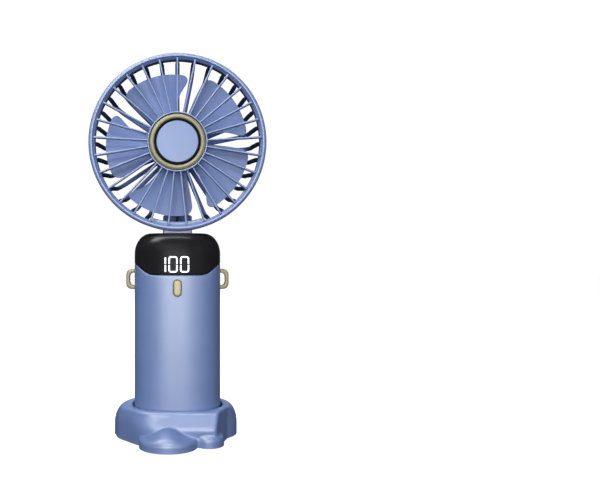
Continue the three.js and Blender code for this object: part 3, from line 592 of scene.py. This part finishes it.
def build_loops():
    half = (LOOP_HIGH[2] - LOOP_LOW[2]) / 2
    middle = (LOOP_HIGH[2] + LOOP_LOW[2]) / 2
    inside, reach, band = LOOP_LOW[0], LOOP_HIGH[0], 2.0
    for side, name in ((-1, "left"), (1, "right")):
        outline = rounded(
            [(inside, -half), (reach, -half), (reach, half), (inside, half), (inside, half - band),
             (reach - band, half - band), (reach - band, -half + band), (inside, -half + band)],
            [0, 5.0, 5.0, 0, 0, 3.2, 3.2, 0], steps=12)
        outline[:, 1] += middle
        outline[:, 0] *= side
        loop = make(f"lanyard_eye_{name}", *prism(outline, LOOP_LOW[1], LOOP_HIGH[1], (0, 2, 1)))
        bevelled(loop, 0.75, 4)
        finished(loop, "handle", "champagne_metal", GOLD, f"lanyard_loop_{name}")


def domed_pill(name, width, height, front, back, crown):
    """An upright pill with a crowned front face."""
    middle = (BUTTON_LOW[2] + BUTTON_HIGH[2]) / 2
    rows = []
    for inset, y in ((0, back), (0, front + crown), (0.12, front + 0.45 * crown), (0.4, front + 0.15 * crown),
                     (0.9, front), (min(width, height) / 2 - 0.1, front)):
        outline = pill(width - 2 * inset, height - 2 * inset, 0, middle)
        rows.append([(x, y, z) for x, z in outline])
    return make(name, *skin(rows))


def build_button():
    bezel_width, bezel_height = (BEZEL_HIGH - BEZEL_LOW)[[0, 2]]
    key = domed_pill("button_key", bezel_width - 1.2, bezel_height - 1.2, BUTTON_LOW[1], BUTTON_HIGH[1], 0.5)
    finished(key, "button", "cream_button", CREAM, "power_button")
    middle = (BUTTON_LOW[2] + BUTTON_HIGH[2]) / 2
    rows = []
    front, back = BEZEL_LOW[1], BEZEL_HIGH[1]
    for inset, y in ((0, back), (0, front + 0.12), (0.1, front), (0.25, front), (0.35, front + 0.12),
                     (0.35, back)):
        outline = pill(bezel_width - 2 * inset, bezel_height - 2 * inset, 0, middle)
        rows.append([(x, y, z) for x, z in outline])
    bezel = make("button_rim", *skin(rows, wrap=True))
    finished(bezel, "handle", "champagne_metal", GOLD, "button_bezel")


# Digits of the display: upright strokes with a gap at mid height.
DIGIT = {"bottom": 88.2, "top": 96.5, "stroke": 0.74, "gap": 0.6}


def front_of_handle(x):
    """Y of the handle's front surface at a distance from the middle."""
    return -HALF_DEPTH * (1 - np.abs(x / HALF_WIDTH) ** HANDLE_POWER) ** (1 / HANDLE_POWER)


def stroke(path):
    """A flat raised band of the digit's stroke width along a path of (x, z) on the front of the handle."""
    path = np.asarray(path, float)
    ahead = np.gradient(path, axis=0)
    ahead /= np.linalg.norm(ahead, axis=1)[:, None]
    side = np.stack([-ahead[:, 1], ahead[:, 0]], 1)
    rows = []
    for point, turn in zip(path, side):
        row = []
        for across, rise in ((-0.5, -0.3), (-0.5, 0.0), (-0.42, 0.05), (0.42, 0.05), (0.5, 0.0), (0.5, -0.3)):
            x, z = point + turn * across * DIGIT["stroke"]
            row.append((x, front_of_handle(x) - rise, z))
        rows.append(row)
    return skin(rows)


def half_zero(left, right, end, middle):
    """Half of a zero: up one side, round, and down the other."""
    inset = DIGIT["stroke"] / 2
    toward = 1 if end > middle else -1
    level = end - toward * inset
    start = middle + toward * DIGIT["gap"] / 2
    corners = [(left + inset, start), (left + inset, level), (right - inset, level), (right - inset, start)]
    bent = rounded(corners, [0, 1.1, 1.1, 0], steps=7, closed=False)
    return stroke(dense(bent))


def dense(path, step=0.35):
    """A path with more points on its straight stretches."""
    points = [path[0]]
    for start, stop in zip(path[:-1], path[1:]):
        count = max(1, int(np.linalg.norm(stop - start) / step))
        points += [start + (stop - start) * (i + 1) / count for i in range(count)]
    return np.array(points)


def build_digits():
    low, high, gap = DIGIT["bottom"], DIGIT["top"], DIGIT["gap"]
    middle = (low + high) / 2
    parts = []
    for left, right in ((-4.55, 0.1), (1.35, 6.0)):
        parts += [half_zero(left, right, high, middle), half_zero(left, right, low, middle)]
    one = -6.15
    for start, stop in ((low + 0.35, middle - gap / 2), (middle + gap / 2, high - 0.6)):
        parts.append(stroke(dense(np.array([(one, start), (one, stop)]))))
    digits = make("display_digits", *together(parts))
    return finished(digits, "handle", "display_light", LIGHT)


# ---------------------------------------------------------------- head
LIP = 42.7
HUB_OUTER, HUB_WALL, HUB_FLOOR = 15.5, 0.7, -11.5
SPOKES = 29


def build_grille():
    front = RING_FRONT
    bead = turned(rounded([(LIP, -11.8), (LIP, front + 1.9), (LIP + 1.0, front + 0.75),
                           (LIP + 1.1, front + 0.35), (LIP + 1.3, front + 0.05), (LIP + 1.9, front),
                           (RING_RADIUS - 0.95, front + 0.15), (RING_RADIUS - 0.2, front + 0.75),
                           (RING_RADIUS, front + 1.6), (RING_RADIUS, -11.8)],
                          [0.2, 0.3, 0.2, 0.1, 0.3, 0.6, 0.5, 0.5, 0.4, 0.25], steps=5), 256)
    inner = HUB_OUTER - HUB_WALL
    cup = turned(rounded([(0.1, HUB_FLOOR), (inner, HUB_FLOOR), (inner, front + 0.1),
                          (HUB_OUTER, front + 0.1), (HUB_OUTER, -10.2), (0.1, -10.2)],
                         [0, 0.1, 0.3, 0.3, 0.3, 0], steps=4), 192)
    parts = [bead, cup]
    for i in range(SPOKES):
        points, faces = one_spoke()
        parts.append((about_axis(points, i * 360 / SPOKES), faces))
    grille = make("grille_front", *together(parts))
    return finished(grille, "head", "blue_shell", BLUE, "front_grille")


def one_spoke():
    """A thin upright blade from the hub to the lip, rounded along its front edge."""
    rows = []
    for radius, width, front, back in ((HUB_OUTER - 0.3, 0.8, -14.5, -10.8),
                                       (HUB_OUTER + 1, 0.85, -14.6, -10.8),
                                       (30, 0.95, -14.6, -10.8), (40.5, 1.05, -14.6, -10.8),
                                       (LIP - 0.2, 1.25, -14.6, -11.8), (LIP + 0.6, 1.5, -14.4, -12)):
        half = width / 2
        nose = [(half * math.cos(a), front + half * (1 - math.sin(a))) for a in np.linspace(0, math.pi, 7)]
        tail = [(-0.7 * half, back), (0.7 * half, back)]
        rows.append([(x, y, HEAD_Z + radius) for x, y in nose + tail])
    return skin(rows)


def build_hub():
    front = RING_FRONT
    trim = turned(rounded([(12.1, HUB_FLOOR - GAP), (12.1, front + 0.5), (12.6, front + 0.12), (13.3, front),
                           (14.2, front + 0.5), (14.5, front + 0.9), (14.5, HUB_FLOOR - GAP)],
                          [0, 0.3, 0.5, 0.6, 0.3, 0.2, 0], steps=5), 192)
    finished(make("hub_trim", *trim), "head", "champagne_metal", GOLD, "trim_ring")
    gap = turned(rounded([(10.95, HUB_FLOOR - GAP), (10.95, front + 0.6), (11.95, front + 0.6),
                          (11.95, HUB_FLOOR - GAP)], 0.1, steps=2), 192)
    finished(make("hub_gap", *gap), "head", "black_matte", BLACK, "gap_ring")
    cap = turned(rounded([(0.1, front), (10.8, front), (10.8, HUB_FLOOR - GAP), (0.1, HUB_FLOOR - GAP)],
                         [0, 0.5, 0.1, 0], steps=6), 192)
    finished(make("hub_disc", *cap), "head", "blue_shell", BLUE_HUB, "hub_cap")


WEB_INNER, WEB_HALF_ANGLE, WEB_FRONT, WEB_BACK = 41.0, 18.0, -7.3, 12.5


def build_shroud():
    outer, inner = (SHROUD_HIGH[2] - HEAD_Z), 43.8
    front, back = SHROUD_LOW[1], -3.5
    wall = turned(rounded([(inner, front), (outer, front), (outer, back), (inner, back)],
                          [0.2, 0.3, 0.5, 0.4], steps=4), 256)
    shroud = make("shroud_skin", *wall)
    section = rounded([(WEB_INNER, WEB_FRONT), (outer, WEB_FRONT), (outer, WEB_BACK), (WEB_INNER, WEB_BACK)],
                      [0.6, 0.1, 1.2, 0.8], steps=5)
    rows = []
    for degrees in np.linspace(180 - WEB_HALF_ANGLE, 180 + WEB_HALF_ANGLE, 40):
        angle = math.radians(degrees)
        rows.append([(r * math.sin(angle), y, HEAD_Z + r * math.cos(angle)) for r, y in section])
    web = bevelled(make("cutter", *skin(rows)), 0.4, 3, 50)
    combine(shroud, [web], "UNION")
    combine(shroud, [lead_hole()], "DIFFERENCE")
    return finished(soften(shroud, 30), "head", "blue_shell", BLUE, "shroud")


RIBS, RIB = 32, 2.4


def rib_path():
    """Centreline of a cage rib in radius and y, from the rim to the hub, and its half thickness."""
    radius, back, bend = 40.3, CAGE_HIGH[1] - RIB / 2, 7.5
    path = [(43.2, -10.0), (43.1, -8.8), (42.95, -7.6), (42.7, -6.2), (42.4, -4.6), (42.0, -2.5),
            (41.6, 0), (41.15, 2.5), (40.75, 5)]
    thick = [0.4, 0.5, 0.75, 1.0, RIB / 2]
    path += [(radius - bend + bend * math.cos(a), back - bend + bend * math.sin(a))
             for a in np.linspace(0.06, math.pi / 2, 12)]
    path += [(r, back) for r in np.linspace(radius - bend, 13.2, 9)[1:]]
    return path, np.array(thick + [RIB / 2] * (len(path) - len(thick)))


def build_cage():
    back = CAGE_HIGH[1]
    parts = [turned(rounded([(42.7, -10.4), (43.5, -10.4), (43.5, -7.9), (42.7, -7.9)], 0.2, steps=2), 192)]
    parts.append(turned(rounded([(0.1, 13.2), (14.5, 13.2), (14.5, back), (0.1, back)],
                                [0, 0.5, 1.0, 0], steps=6), 128))
    line, thick = rib_path()
    bar = tube([(0, y, HEAD_Z + r) for r, y in line], thick, 14)
    for i in range(RIBS):
        if abs(i - RIBS / 2) * 360 / RIBS > WEB_HALF_ANGLE:
            parts.append((about_axis(bar[0], i * 360 / RIBS), bar[1]))
    cage = make("cage_rear", *together(parts), sharp=40)
    duct_outline = rounded([(-3, -13.5), (3, -13.5), (3.2, -35), (8, -37), (8, -42.5), (-8, -42.5), (-8, -37),
                            (-3.2, -35)], [0.1, 0.1, 3, 0.8, 1, 1, 0.8, 3], steps=6)
    duct_outline[:, 1] += HEAD_Z
    duct = make("cutter", *prism(duct_outline, 12.8, back, (0, 2, 1)))
    trim = make("cutter", *prism([(-10, -36.8), (10, -36.8), (10, 0), (-10, 0)] + np.array([0, HEAD_Z]),
                                 0, back - RIB, (0, 2, 1)))
    combine(duct, [trim], "DIFFERENCE")
    bevelled(duct, 0.7, 3, 50)
    duct.name = "cage_duct"
    # the cage and its duct take the cage's blue with painted shade
    finished(cage, "head", "blue_shell", BLUE_CAGE_PAINTED_SHADE, "rear_cage")
    finished(duct, "head", "blue_shell", BLUE_CAGE_PAINTED_SHADE)


def build_rear_cap():
    low, high = (v[1] for v in span("rear_hub_cap"))
    outline = rounded([(0.1, high), (12.4, high), (13.5, high - 0.6), (13.5, low), (0.1, low)],
                      [0, 0.6, 0.4, 0, 0], steps=5)
    points, faces = turned(outline, 160)
    dish = np.hypot(points[:, 0], points[:, 2] - HEAD_Z)
    points[:, 1] -= np.where((points[:, 1] > low + 0.6) & (dish < 9), 0.25, 0)
    return finished(make("rear_cover", points, faces), "head", "blue_shell", BLUE, "rear_hub_cap")


def build_neck():
    """A knuckle round the pin with an arm up from it, cut to the round of the head."""
    radius = PIN_Y - NECK_LOW[1]
    half = NECK_HIGH[0]
    reach = NECK_BACK - PIN_Y
    meets = math.atan2(math.sqrt(radius ** 2 - reach ** 2), reach)
    knuckle = [(PIN_Y + radius * math.cos(a), PIN_Z + radius * math.sin(a))
               for a in [*np.linspace(math.pi, 2 * math.pi, 60), *np.linspace(0, meets, 20)[1:]]]
    outline = knuckle + [(NECK_BACK, NECK_TOP), (NECK_LOW[1], NECK_TOP)]
    neck = make("neck_skin", *prism(outline, -half, half, (1, 2, 0)))
    bevelled(neck, 0.6, 3, 50)
    clear = SHROUD_HIGH[2] - HEAD_Z + GAP
    room = make("cutter", *turned([(0.1, -30), (clear, -30), (clear, 40), (0.1, 40)], 256))
    combine(neck, [room, pin_hole(), lead_hole()], "DIFFERENCE")
    return finished(soften(neck), "head", "blue_shell", BLUE, "neck")


# ---------------------------------------------------------------- rotor
TIP, HUB_RADIUS = 38.0, 14.2
BLADE_ACROSS, BLADE_ALONG = 34, 30
BLADE_FRONT, BLADE_BACK = -7.5, 1.4
RIGHT_EDGE = ((13.7, -2.0), (20.0, 0.0), (25.8, 1.6), (31.0, 6.0), (34.5, 9.2), (38.0, 9.2))
LEFT_EDGE = ((13.7, -52.5), (25.0, -51.0), (36.0, -49.0), (38.0, -48.5))


def smooth_through(table, radius):
    """An eased value at a radius from pairs of radius and value."""
    stations, values = zip(*table)
    offsets = np.linspace(-2.5, 2.5, 9)
    return float(np.mean([np.interp(radius + o, stations, values) for o in offsets]))


def corner_pull(radius, rounding):
    """How far a blade's edge is drawn in near the tip, to round its corner."""
    depth = max(0.0, radius - (TIP - rounding)) / rounding
    return rounding * (1 - math.sqrt(max(0.0, 1 - depth * depth)))


def one_blade():
    """A pitched blade: its left edge lies in front, its right edge, with the hooked tip, behind."""
    near, far = [], []
    radii = HUB_RADIUS - 0.6 + (TIP - HUB_RADIUS + 0.6) * np.sin(np.linspace(0, math.pi / 2, BLADE_ALONG))
    for radius in radii:
        left = smooth_through(LEFT_EDGE, radius) + math.degrees(corner_pull(radius, 4.5) / radius)
        right = smooth_through(RIGHT_EDGE, radius) - math.degrees(corner_pull(radius, 3.0) / radius)
        for share in np.linspace(0, 1, BLADE_ACROSS):
            degrees = left + (right - left) * share
            across = (degrees + 52.0) / 60.6
            bulge = 0.9 * math.sin(math.pi * min(max(across, 0), 1))
            y = BLADE_FRONT + (BLADE_BACK - BLADE_FRONT) * across - bulge
            angle = math.radians(degrees)
            near.append((radius * math.sin(angle), y, HEAD_Z + radius * math.cos(angle)))
    near = np.array(near)
    far = near + [0, 1.0, 0]
    index = np.arange(len(near)).reshape(BLADE_ALONG, BLADE_ACROSS)
    loop = list(index[0]) + list(index[1:, -1]) + list(index[-1, -2::-1]) + list(index[-2:0:-1, 0])
    faces = []
    count = len(near)
    for r in range(BLADE_ALONG - 1):
        for c in range(BLADE_ACROSS - 1):
            quad = (index[r, c], index[r, c + 1], index[r + 1, c + 1], index[r + 1, c])
            faces.append(tuple(int(i) for i in quad))
            faces.append(tuple(int(i) + count for i in quad[::-1]))
    for a, b in zip(loop, loop[1:] + loop[:1]):
        faces.append((int(a), int(b), int(b) + count, int(a) + count))
    return np.concatenate([near, far]), faces


def build_impeller():
    blade_points, blade_faces = one_blade()
    blade = make("cutter", blade_points, blade_faces, sharp=60)
    bevelled(blade, 0.28, 2, 60)
    points = np.array([v.co for v in blade.data.vertices]) / MM
    faces = [tuple(p.vertices) for p in blade.data.polygons]
    bpy.data.objects.remove(blade)
    parts = [(about_axis(points, i * 360 / BLADES), faces) for i in range(BLADES)]
    front, back, inner = IMPELLER_LOW[1], 2.0, HUB_RADIUS - 1.1
    parts.append(turned(rounded([(1.4, front), (HUB_RADIUS, front), (HUB_RADIUS, back), (inner, back),
                                 (inner, front + 1.4), (1.4, front + 1.4)],
                                [0.1, 1.4, 0.3, 0.3, 0.5, 0.1], steps=5), 160))
    impeller = make("impeller_skin", *together(parts), sharp=60)
    # the blades take the blue with painted shade towards their leading edges
    return finished(impeller, "rotor", "blue_blade", BLUE_BLADE_PAINTED_SHADE, "impeller")


# ---------------------------------------------------------------- cradle
# Smooth joins of shapes given as distances: below zero is inside.
def smooth_min(a, b, ease):
    blend = np.clip(0.5 + 0.5 * (b - a) / ease, 0, 1)
    return b * (1 - blend) + a * blend - ease * blend * (1 - blend)


def smooth_max(a, b, ease):
    return -smooth_min(-a, -b, ease)


SHOULDER_Z = 6.2
COLLAR_Z = BASE_HIGH[2]
FOOT_X, FOOT_Y = (BASE_HIGH[0] + BASE_LOW[0]) / 2, 6.0
FOOT_HALF_WIDTH, FOOT_HALF_DEPTH, FOOT_POWER = BASE_HIGH[0] - FOOT_X, 22.0, 2.1
RIM = 3.1
SOCKET_GAP = 1.1


def polar_radius(angle, half_width, half_depth, power):
    cos, sin = np.abs(np.cos(angle)), np.abs(np.sin(angle))
    return ((cos / half_width) ** power + (sin / half_depth) ** power) ** (-1 / power)


def mound(x, y, z):
    """The body round the handle: upright below the shoulder, then a quarter ellipse up to the collar."""
    rise = np.clip((z - SHOULDER_Z) / (COLLAR_Z - SHOULDER_Z), 0, 1)
    share = 1 - np.sqrt(1 - rise ** 2)
    centre_x, centre_y = FOOT_X * (1 - share), FOOT_Y * (1 - share)
    foot_angle = np.arctan2(y - centre_y, x - centre_x)
    foot = polar_radius(foot_angle, FOOT_HALF_WIDTH, FOOT_HALF_DEPTH, FOOT_POWER)
    rim = polar_radius(foot_angle, HALF_WIDTH + RIM, HALF_DEPTH + RIM, HANDLE_POWER)
    reach = foot + (rim - foot) * share
    return np.hypot(x - centre_x, y - centre_y) - reach


def plane(x, y, z, point, normal):
    """Distance outside a plane through a point."""
    size = math.sqrt(sum(n * n for n in normal))
    return sum((value - place) * n for value, place, n in zip((x, y, z), point, normal)) / size


def panel(x, y, z):
    """The block in front with a sloping flat face between two ridges."""
    slope = plane(x, y, z, (0, -21.3, 17.5), (0, -7.5, 4.0))
    lower = plane(x, y, z, (0, -25.3, 10), (0, -1, -0.08))
    face = smooth_max(slope, lower, 0.9)
    left = plane(x, y, z, (-25.0, -14.2, 12), (-0.85, -0.52, -0.04))
    shoulder = plane(x, y, z, (-22.6, -15.0, 17.0), (-0.62, -0.30, 0.72))
    right = plane(x, y, z, (20.6, -22.0, 13), (0.935, -0.35, 0.02))
    block = smooth_max(smooth_max(face, left, 9.0), right, 1.5)
    block = smooth_max(block, shoulder, 4.0)
    return smooth_max(block, y + 7, 4.0)


def dome(x, y, z):
    """The big lobe: an upright wall with a bell-shaped crown."""
    along = (x + 4.7) / 14.4
    ahead = (-23.0 - y) / 12.9
    wall = (np.hypot(along, ahead) - 1) * 12.9 - 0.2
    forward = np.clip(ahead, 0, None) / np.sqrt(np.clip(1 - along ** 2, 0.04, 1))
    crown = 4.6 + 6.3 * np.exp(-((x + 5.0) / 9.2) ** 2) * np.sqrt(np.clip(1 - forward ** 2, 0, 1))
    return smooth_max(wall, (z - crown) * 0.8, 0.8)


def lobe(x, y, z):
    """The small lobe at the right."""
    reach = np.hypot((x - 15.9) / 7.9, (y + 18.0) / 8.9)
    crown = 4.6 + 3.1 * np.sqrt(np.clip(1 - reach ** 2, 0, 1))
    return smooth_max((reach - 1) * 8.2, (z - crown) * 0.8, 0.9)


def cradle(x, y, z):
    soft = 2.0 + 6.0 / (1 + np.exp((x + 4) / 3.0))
    body = smooth_min(mound(x, y, z), panel(x, y, z), soft)
    body = smooth_max(body, z - COLLAR_Z, 1.8)
    body = smooth_min(body, dome(x, y, z), 0.9)
    return smooth_min(body, lobe(x, y, z), 1.0)


CRADLE_AROUND, CRADLE_UP, HALVINGS = 420, 96, 26
CRADLE_HUB_Y = -3.0  # the rays that find the surface leave from here
NEAREST, FARTHEST = 12.0, 52.0
RIM_ROUND = 0.7
SOCKET_FLOOR = 4.2
UNDER_INSET = 0.97
RECESS_X, RECESS_Y, RECESS_MIDDLE_Y, RECESS_DEPTH = 27.3, 16.8, 5, 2.0


def build_cradle():
    around = CRADLE_AROUND
    bottom = BASE_LOW[2]
    angle = np.linspace(0, 2 * np.pi, around, endpoint=False)
    socket = polar_radius(angle, HALF_WIDTH + SOCKET_GAP, HALF_DEPTH + SOCKET_GAP, HANDLE_POWER)
    hub = np.stack([0 * angle, CRADLE_HUB_Y + 0 * angle], 1)
    rows = []
    edge = socket + RIM_ROUND
    edge_points = np.stack([edge * np.cos(angle), edge * np.sin(angle), np.full(around, COLLAR_Z)], 1)
    lowest = np.full(around, bottom)
    for step in range(CRADLE_UP):
        share = step / (CRADLE_UP - 1)
        # The ray leaves the hub towards a point that slides from the floor to the rim's edge.
        flat = edge_points[:, :2] - hub
        length = np.linalg.norm(flat, axis=1)
        steepest = np.arctan2(COLLAR_Z - bottom, length)
        climb = steepest * share
        direction = flat / length[:, None]
        near, far = np.full(around, NEAREST), np.full(around, FARTHEST)
        for _ in range(HALVINGS):
            reach = (near + far) / 2
            x, y = hub[:, 0] + direction[:, 0] * reach, hub[:, 1] + direction[:, 1] * reach
            z = lowest + reach * np.tan(climb)
            inside = cradle(x, y, z) < 0
            near, far = np.where(inside, reach, near), np.where(inside, far, reach)
        rows.append(np.stack([x, y, z], 1))
    rows.append(edge_points)
    for turn in np.linspace(0, math.pi / 2, 6)[1:]:
        reach = socket + RIM_ROUND * (1 - math.sin(turn))
        level = COLLAR_Z - RIM_ROUND * (1 - math.cos(turn))
        rows.append(np.stack([reach * np.cos(angle), reach * np.sin(angle), np.full(around, level)], 1))
    for level, share in ((10, 1), (SOCKET_FLOOR, 1), (SOCKET_FLOOR, 0.5), (SOCKET_FLOOR, 0.02)):
        rows.append(np.stack([socket * share * np.cos(angle), socket * share * np.sin(angle),
                              np.full(around, level)], 1))
    # The underside runs in from the foot of the wall to the recess that holds the base plate.
    under = rows[0] * [UNDER_INSET, UNDER_INSET, 1] + [0, (1 - UNDER_INSET) * CRADLE_HUB_Y, 0]
    plate = np.stack([RECESS_X * np.cos(angle), RECESS_MIDDLE_Y + RECESS_Y * np.sin(angle),
                      np.full(around, bottom)], 1)
    recess = plate + [0, 0, RECESS_DEPTH]
    middle = np.stack([0.3 * np.cos(angle), RECESS_MIDDLE_Y + 0.3 * np.sin(angle),
                       np.full(around, bottom + RECESS_DEPTH)], 1)
    points, faces = skin([middle, recess, plate, under] + rows)
    shell = make("cradle_shell", points, faces)
    return finished(shell, "cradle", "blue_shell", BLUE, "base_shell")


# ---------------------------------------------------------------- CAD nodes that stay
def polish(node, material, width=0.15):
    """Gives a CAD node its material, with its edges taken off by modifiers."""
    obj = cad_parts[node]
    obj.data.materials.clear()
    obj.data.materials.append(material)
    obj.data.shade_smooth()
    weld = obj.modifiers.new("weld", "WELD")
    weld.merge_threshold = 0.000002
    bevel = obj.modifiers.new("edges", "BEVEL")
    bevel.width = width * MM
    bevel.segments = 2
    bevel.limit_method = "ANGLE"
    bevel.angle_limit = math.radians(35)
    weighted = obj.modifiers.new("shading", "WEIGHTED_NORMAL")
    weighted.keep_sharp = True


def dress_cad_nodes():
    looks = {
        "base_plate": BLUE, "grip_pad": RUBBER, "hinge_pin": STEEL, "hinge_washer": STEEL, "hinge_nut": STEEL,
        "tact_switch": BLACK, "display_module": PALE, "control_board": BOARD, "charge_board": BOARD,
        "port_shell": STEEL, "port_tongue": BLACK, "battery_cell": CELL, "inner_frame": PALE,
        "bearing_tube": BRASS, "bearing_front": STEEL, "bearing_rear": STEEL, "stator_core": DARK_STEEL,
        # the motor lead takes the cage's blue with painted shade
        "motor_board": BOARD, "motor_lead": BLUE_CAGE_PAINTED_SHADE, "rotor_bell": DARK_STEEL, "rotor_magnet": MAGNET,
        "motor_shaft": STEEL,
    }
    looks.update({f"plate_screw_{i}": STEEL for i in (1, 2, 3)})
    looks.update({f"stator_coil_{i}": COPPER for i in range(1, 7)})
    for node, material in looks.items():
        polish(node, material, 0.08 if node in ("port_shell", "port_tongue", "motor_lead") else 0.15)


# ---------------------------------------------------------------- studio
def build_camera():
    camera = bpy.data.cameras.new("camera")
    camera.sensor_width = 36
    camera.lens = 41.46
    camera.shift_x = 0.2043
    camera.shift_y = 0.0025
    camera.clip_start = 0.01
    obj = link(bpy.data.objects.new("camera", camera))
    obj.location = Vector((0, -370, 100.7)) * MM
    obj.rotation_euler = (math.radians(90), 0, 0)
    bpy.context.scene.camera = obj


def area_light(name, place, target, size, power, colour=(1, 1, 1)):
    light = bpy.data.lights.new(name, "AREA")
    light.shape = "RECTANGLE"
    light.size, light.size_y = size
    light.energy = power
    light.color = colour
    obj = link(bpy.data.objects.new(name, light))
    obj.visible_camera = False
    obj.location = place
    obj.rotation_euler = (Vector(target) - Vector(place)).to_track_quat("-Z", "Y").to_euler()
    return obj


def hidden_from_bounces(obj):
    """Keeps a stage piece out of reflections and bounced light."""
    obj.visible_diffuse = False
    obj.visible_glossy = False
    obj.visible_transmission = False


def white_stage(name, strength):
    material, tree, shader = tree_of(name)
    pale = mixed(tree, noise(tree, 3), (0.985, 0.985, 0.985), (1, 1, 1))
    tree.links.new(pale, shader.inputs["Emission Color"])
    shader.inputs["Base Color"].default_value = (0.35, 0.35, 0.35, 1)
    shader.inputs["Specular IOR Level"].default_value = 0.0
    shader.inputs["Roughness"].default_value = 0.9
    shader.inputs["Emission Strength"].default_value = strength
    return material


STAGE_RADIUS = 3000.0


STAGE_SIDES, STAGE_RINGS, STAGE_DROP = 64, 12, 10


def build_studio():
    angle = np.linspace(0, 2 * np.pi, STAGE_SIDES, endpoint=False)
    disc = np.stack([STAGE_RADIUS * np.cos(angle), STAGE_RADIUS * np.sin(angle), 0 * angle], 1)
    floor = make("floor", disc, [tuple(range(STAGE_SIDES))])
    floor.data.materials.append(white_stage("floor_pale", 1.0))
    hidden_from_bounces(floor)
    rows = []
    for rise in np.linspace(0, math.pi / 2, STAGE_RINGS)[:-1]:
        reach, level = STAGE_RADIUS * math.cos(rise), STAGE_RADIUS * math.sin(rise) - STAGE_DROP
        rows.append(np.stack([reach * np.cos(angle), reach * np.sin(angle), np.full(STAGE_SIDES, level)], 1))
    sky = make("backdrop", *skin(rows, ends=False))
    sky.data.materials.append(white_stage("backdrop_white", 1.0))
    hidden_from_bounces(sky)
    sky.visible_shadow = False
    world = bpy.data.worlds.new("studio")
    bpy.context.scene.world = world
    world.use_nodes = True
    background = world.node_tree.nodes["Background"]
    background.inputs["Color"].default_value = (0.93, 0.95, 1.0, 1)
    background.inputs["Strength"].default_value = 0.035
    area_light("key", (-0.05, -0.95, 0.12), (0, 0, 0.12), (0.5, 0.3), 5.4)
    area_light("right", (0.55, -0.85, 0.25), (0, 0, 0.12), (0.4, 0.5), 1.2)
    side = area_light("side", (0.9, -0.35, 0.2), (0, 0, 0.1), (0.3, 0.5), 1.2)
    side.visible_glossy = False
    area_light("above", (-0.2, -0.85, 0.44), (0, 0, 0.1), (0.6, 0.1), 2.4)
    area_light("high_left", (-0.4, -0.3, 0.7), (0, 0, 0.06), (0.3, 0.3), 3.2)
    area_light("overhead", (-0.05, -0.36, 0.8), (0, 0, 0.1), (0.5, 0.1), 2.4)
    area_light("top_rear", (-0.05, 0.35, 0.75), (0, 0, 0.05), (0.5, 0.3), 3.0)
    area_light("rear", (0.25, 0.95, 0.6), (0, 0, 0.1), (0.6, 0.4), 9.0).visible_glossy = False
    bpy.context.scene.view_settings.view_transform = "Standard"


build_sleeve()
build_end_cap()
build_cap()
build_bracket()
build_loops()
build_button()
build_digits()
build_grille()
build_hub()
build_shroud()
build_cage()
build_rear_cap()
build_neck()
build_impeller()
build_cradle()
dress_cad_nodes()
build_camera()
build_studio()
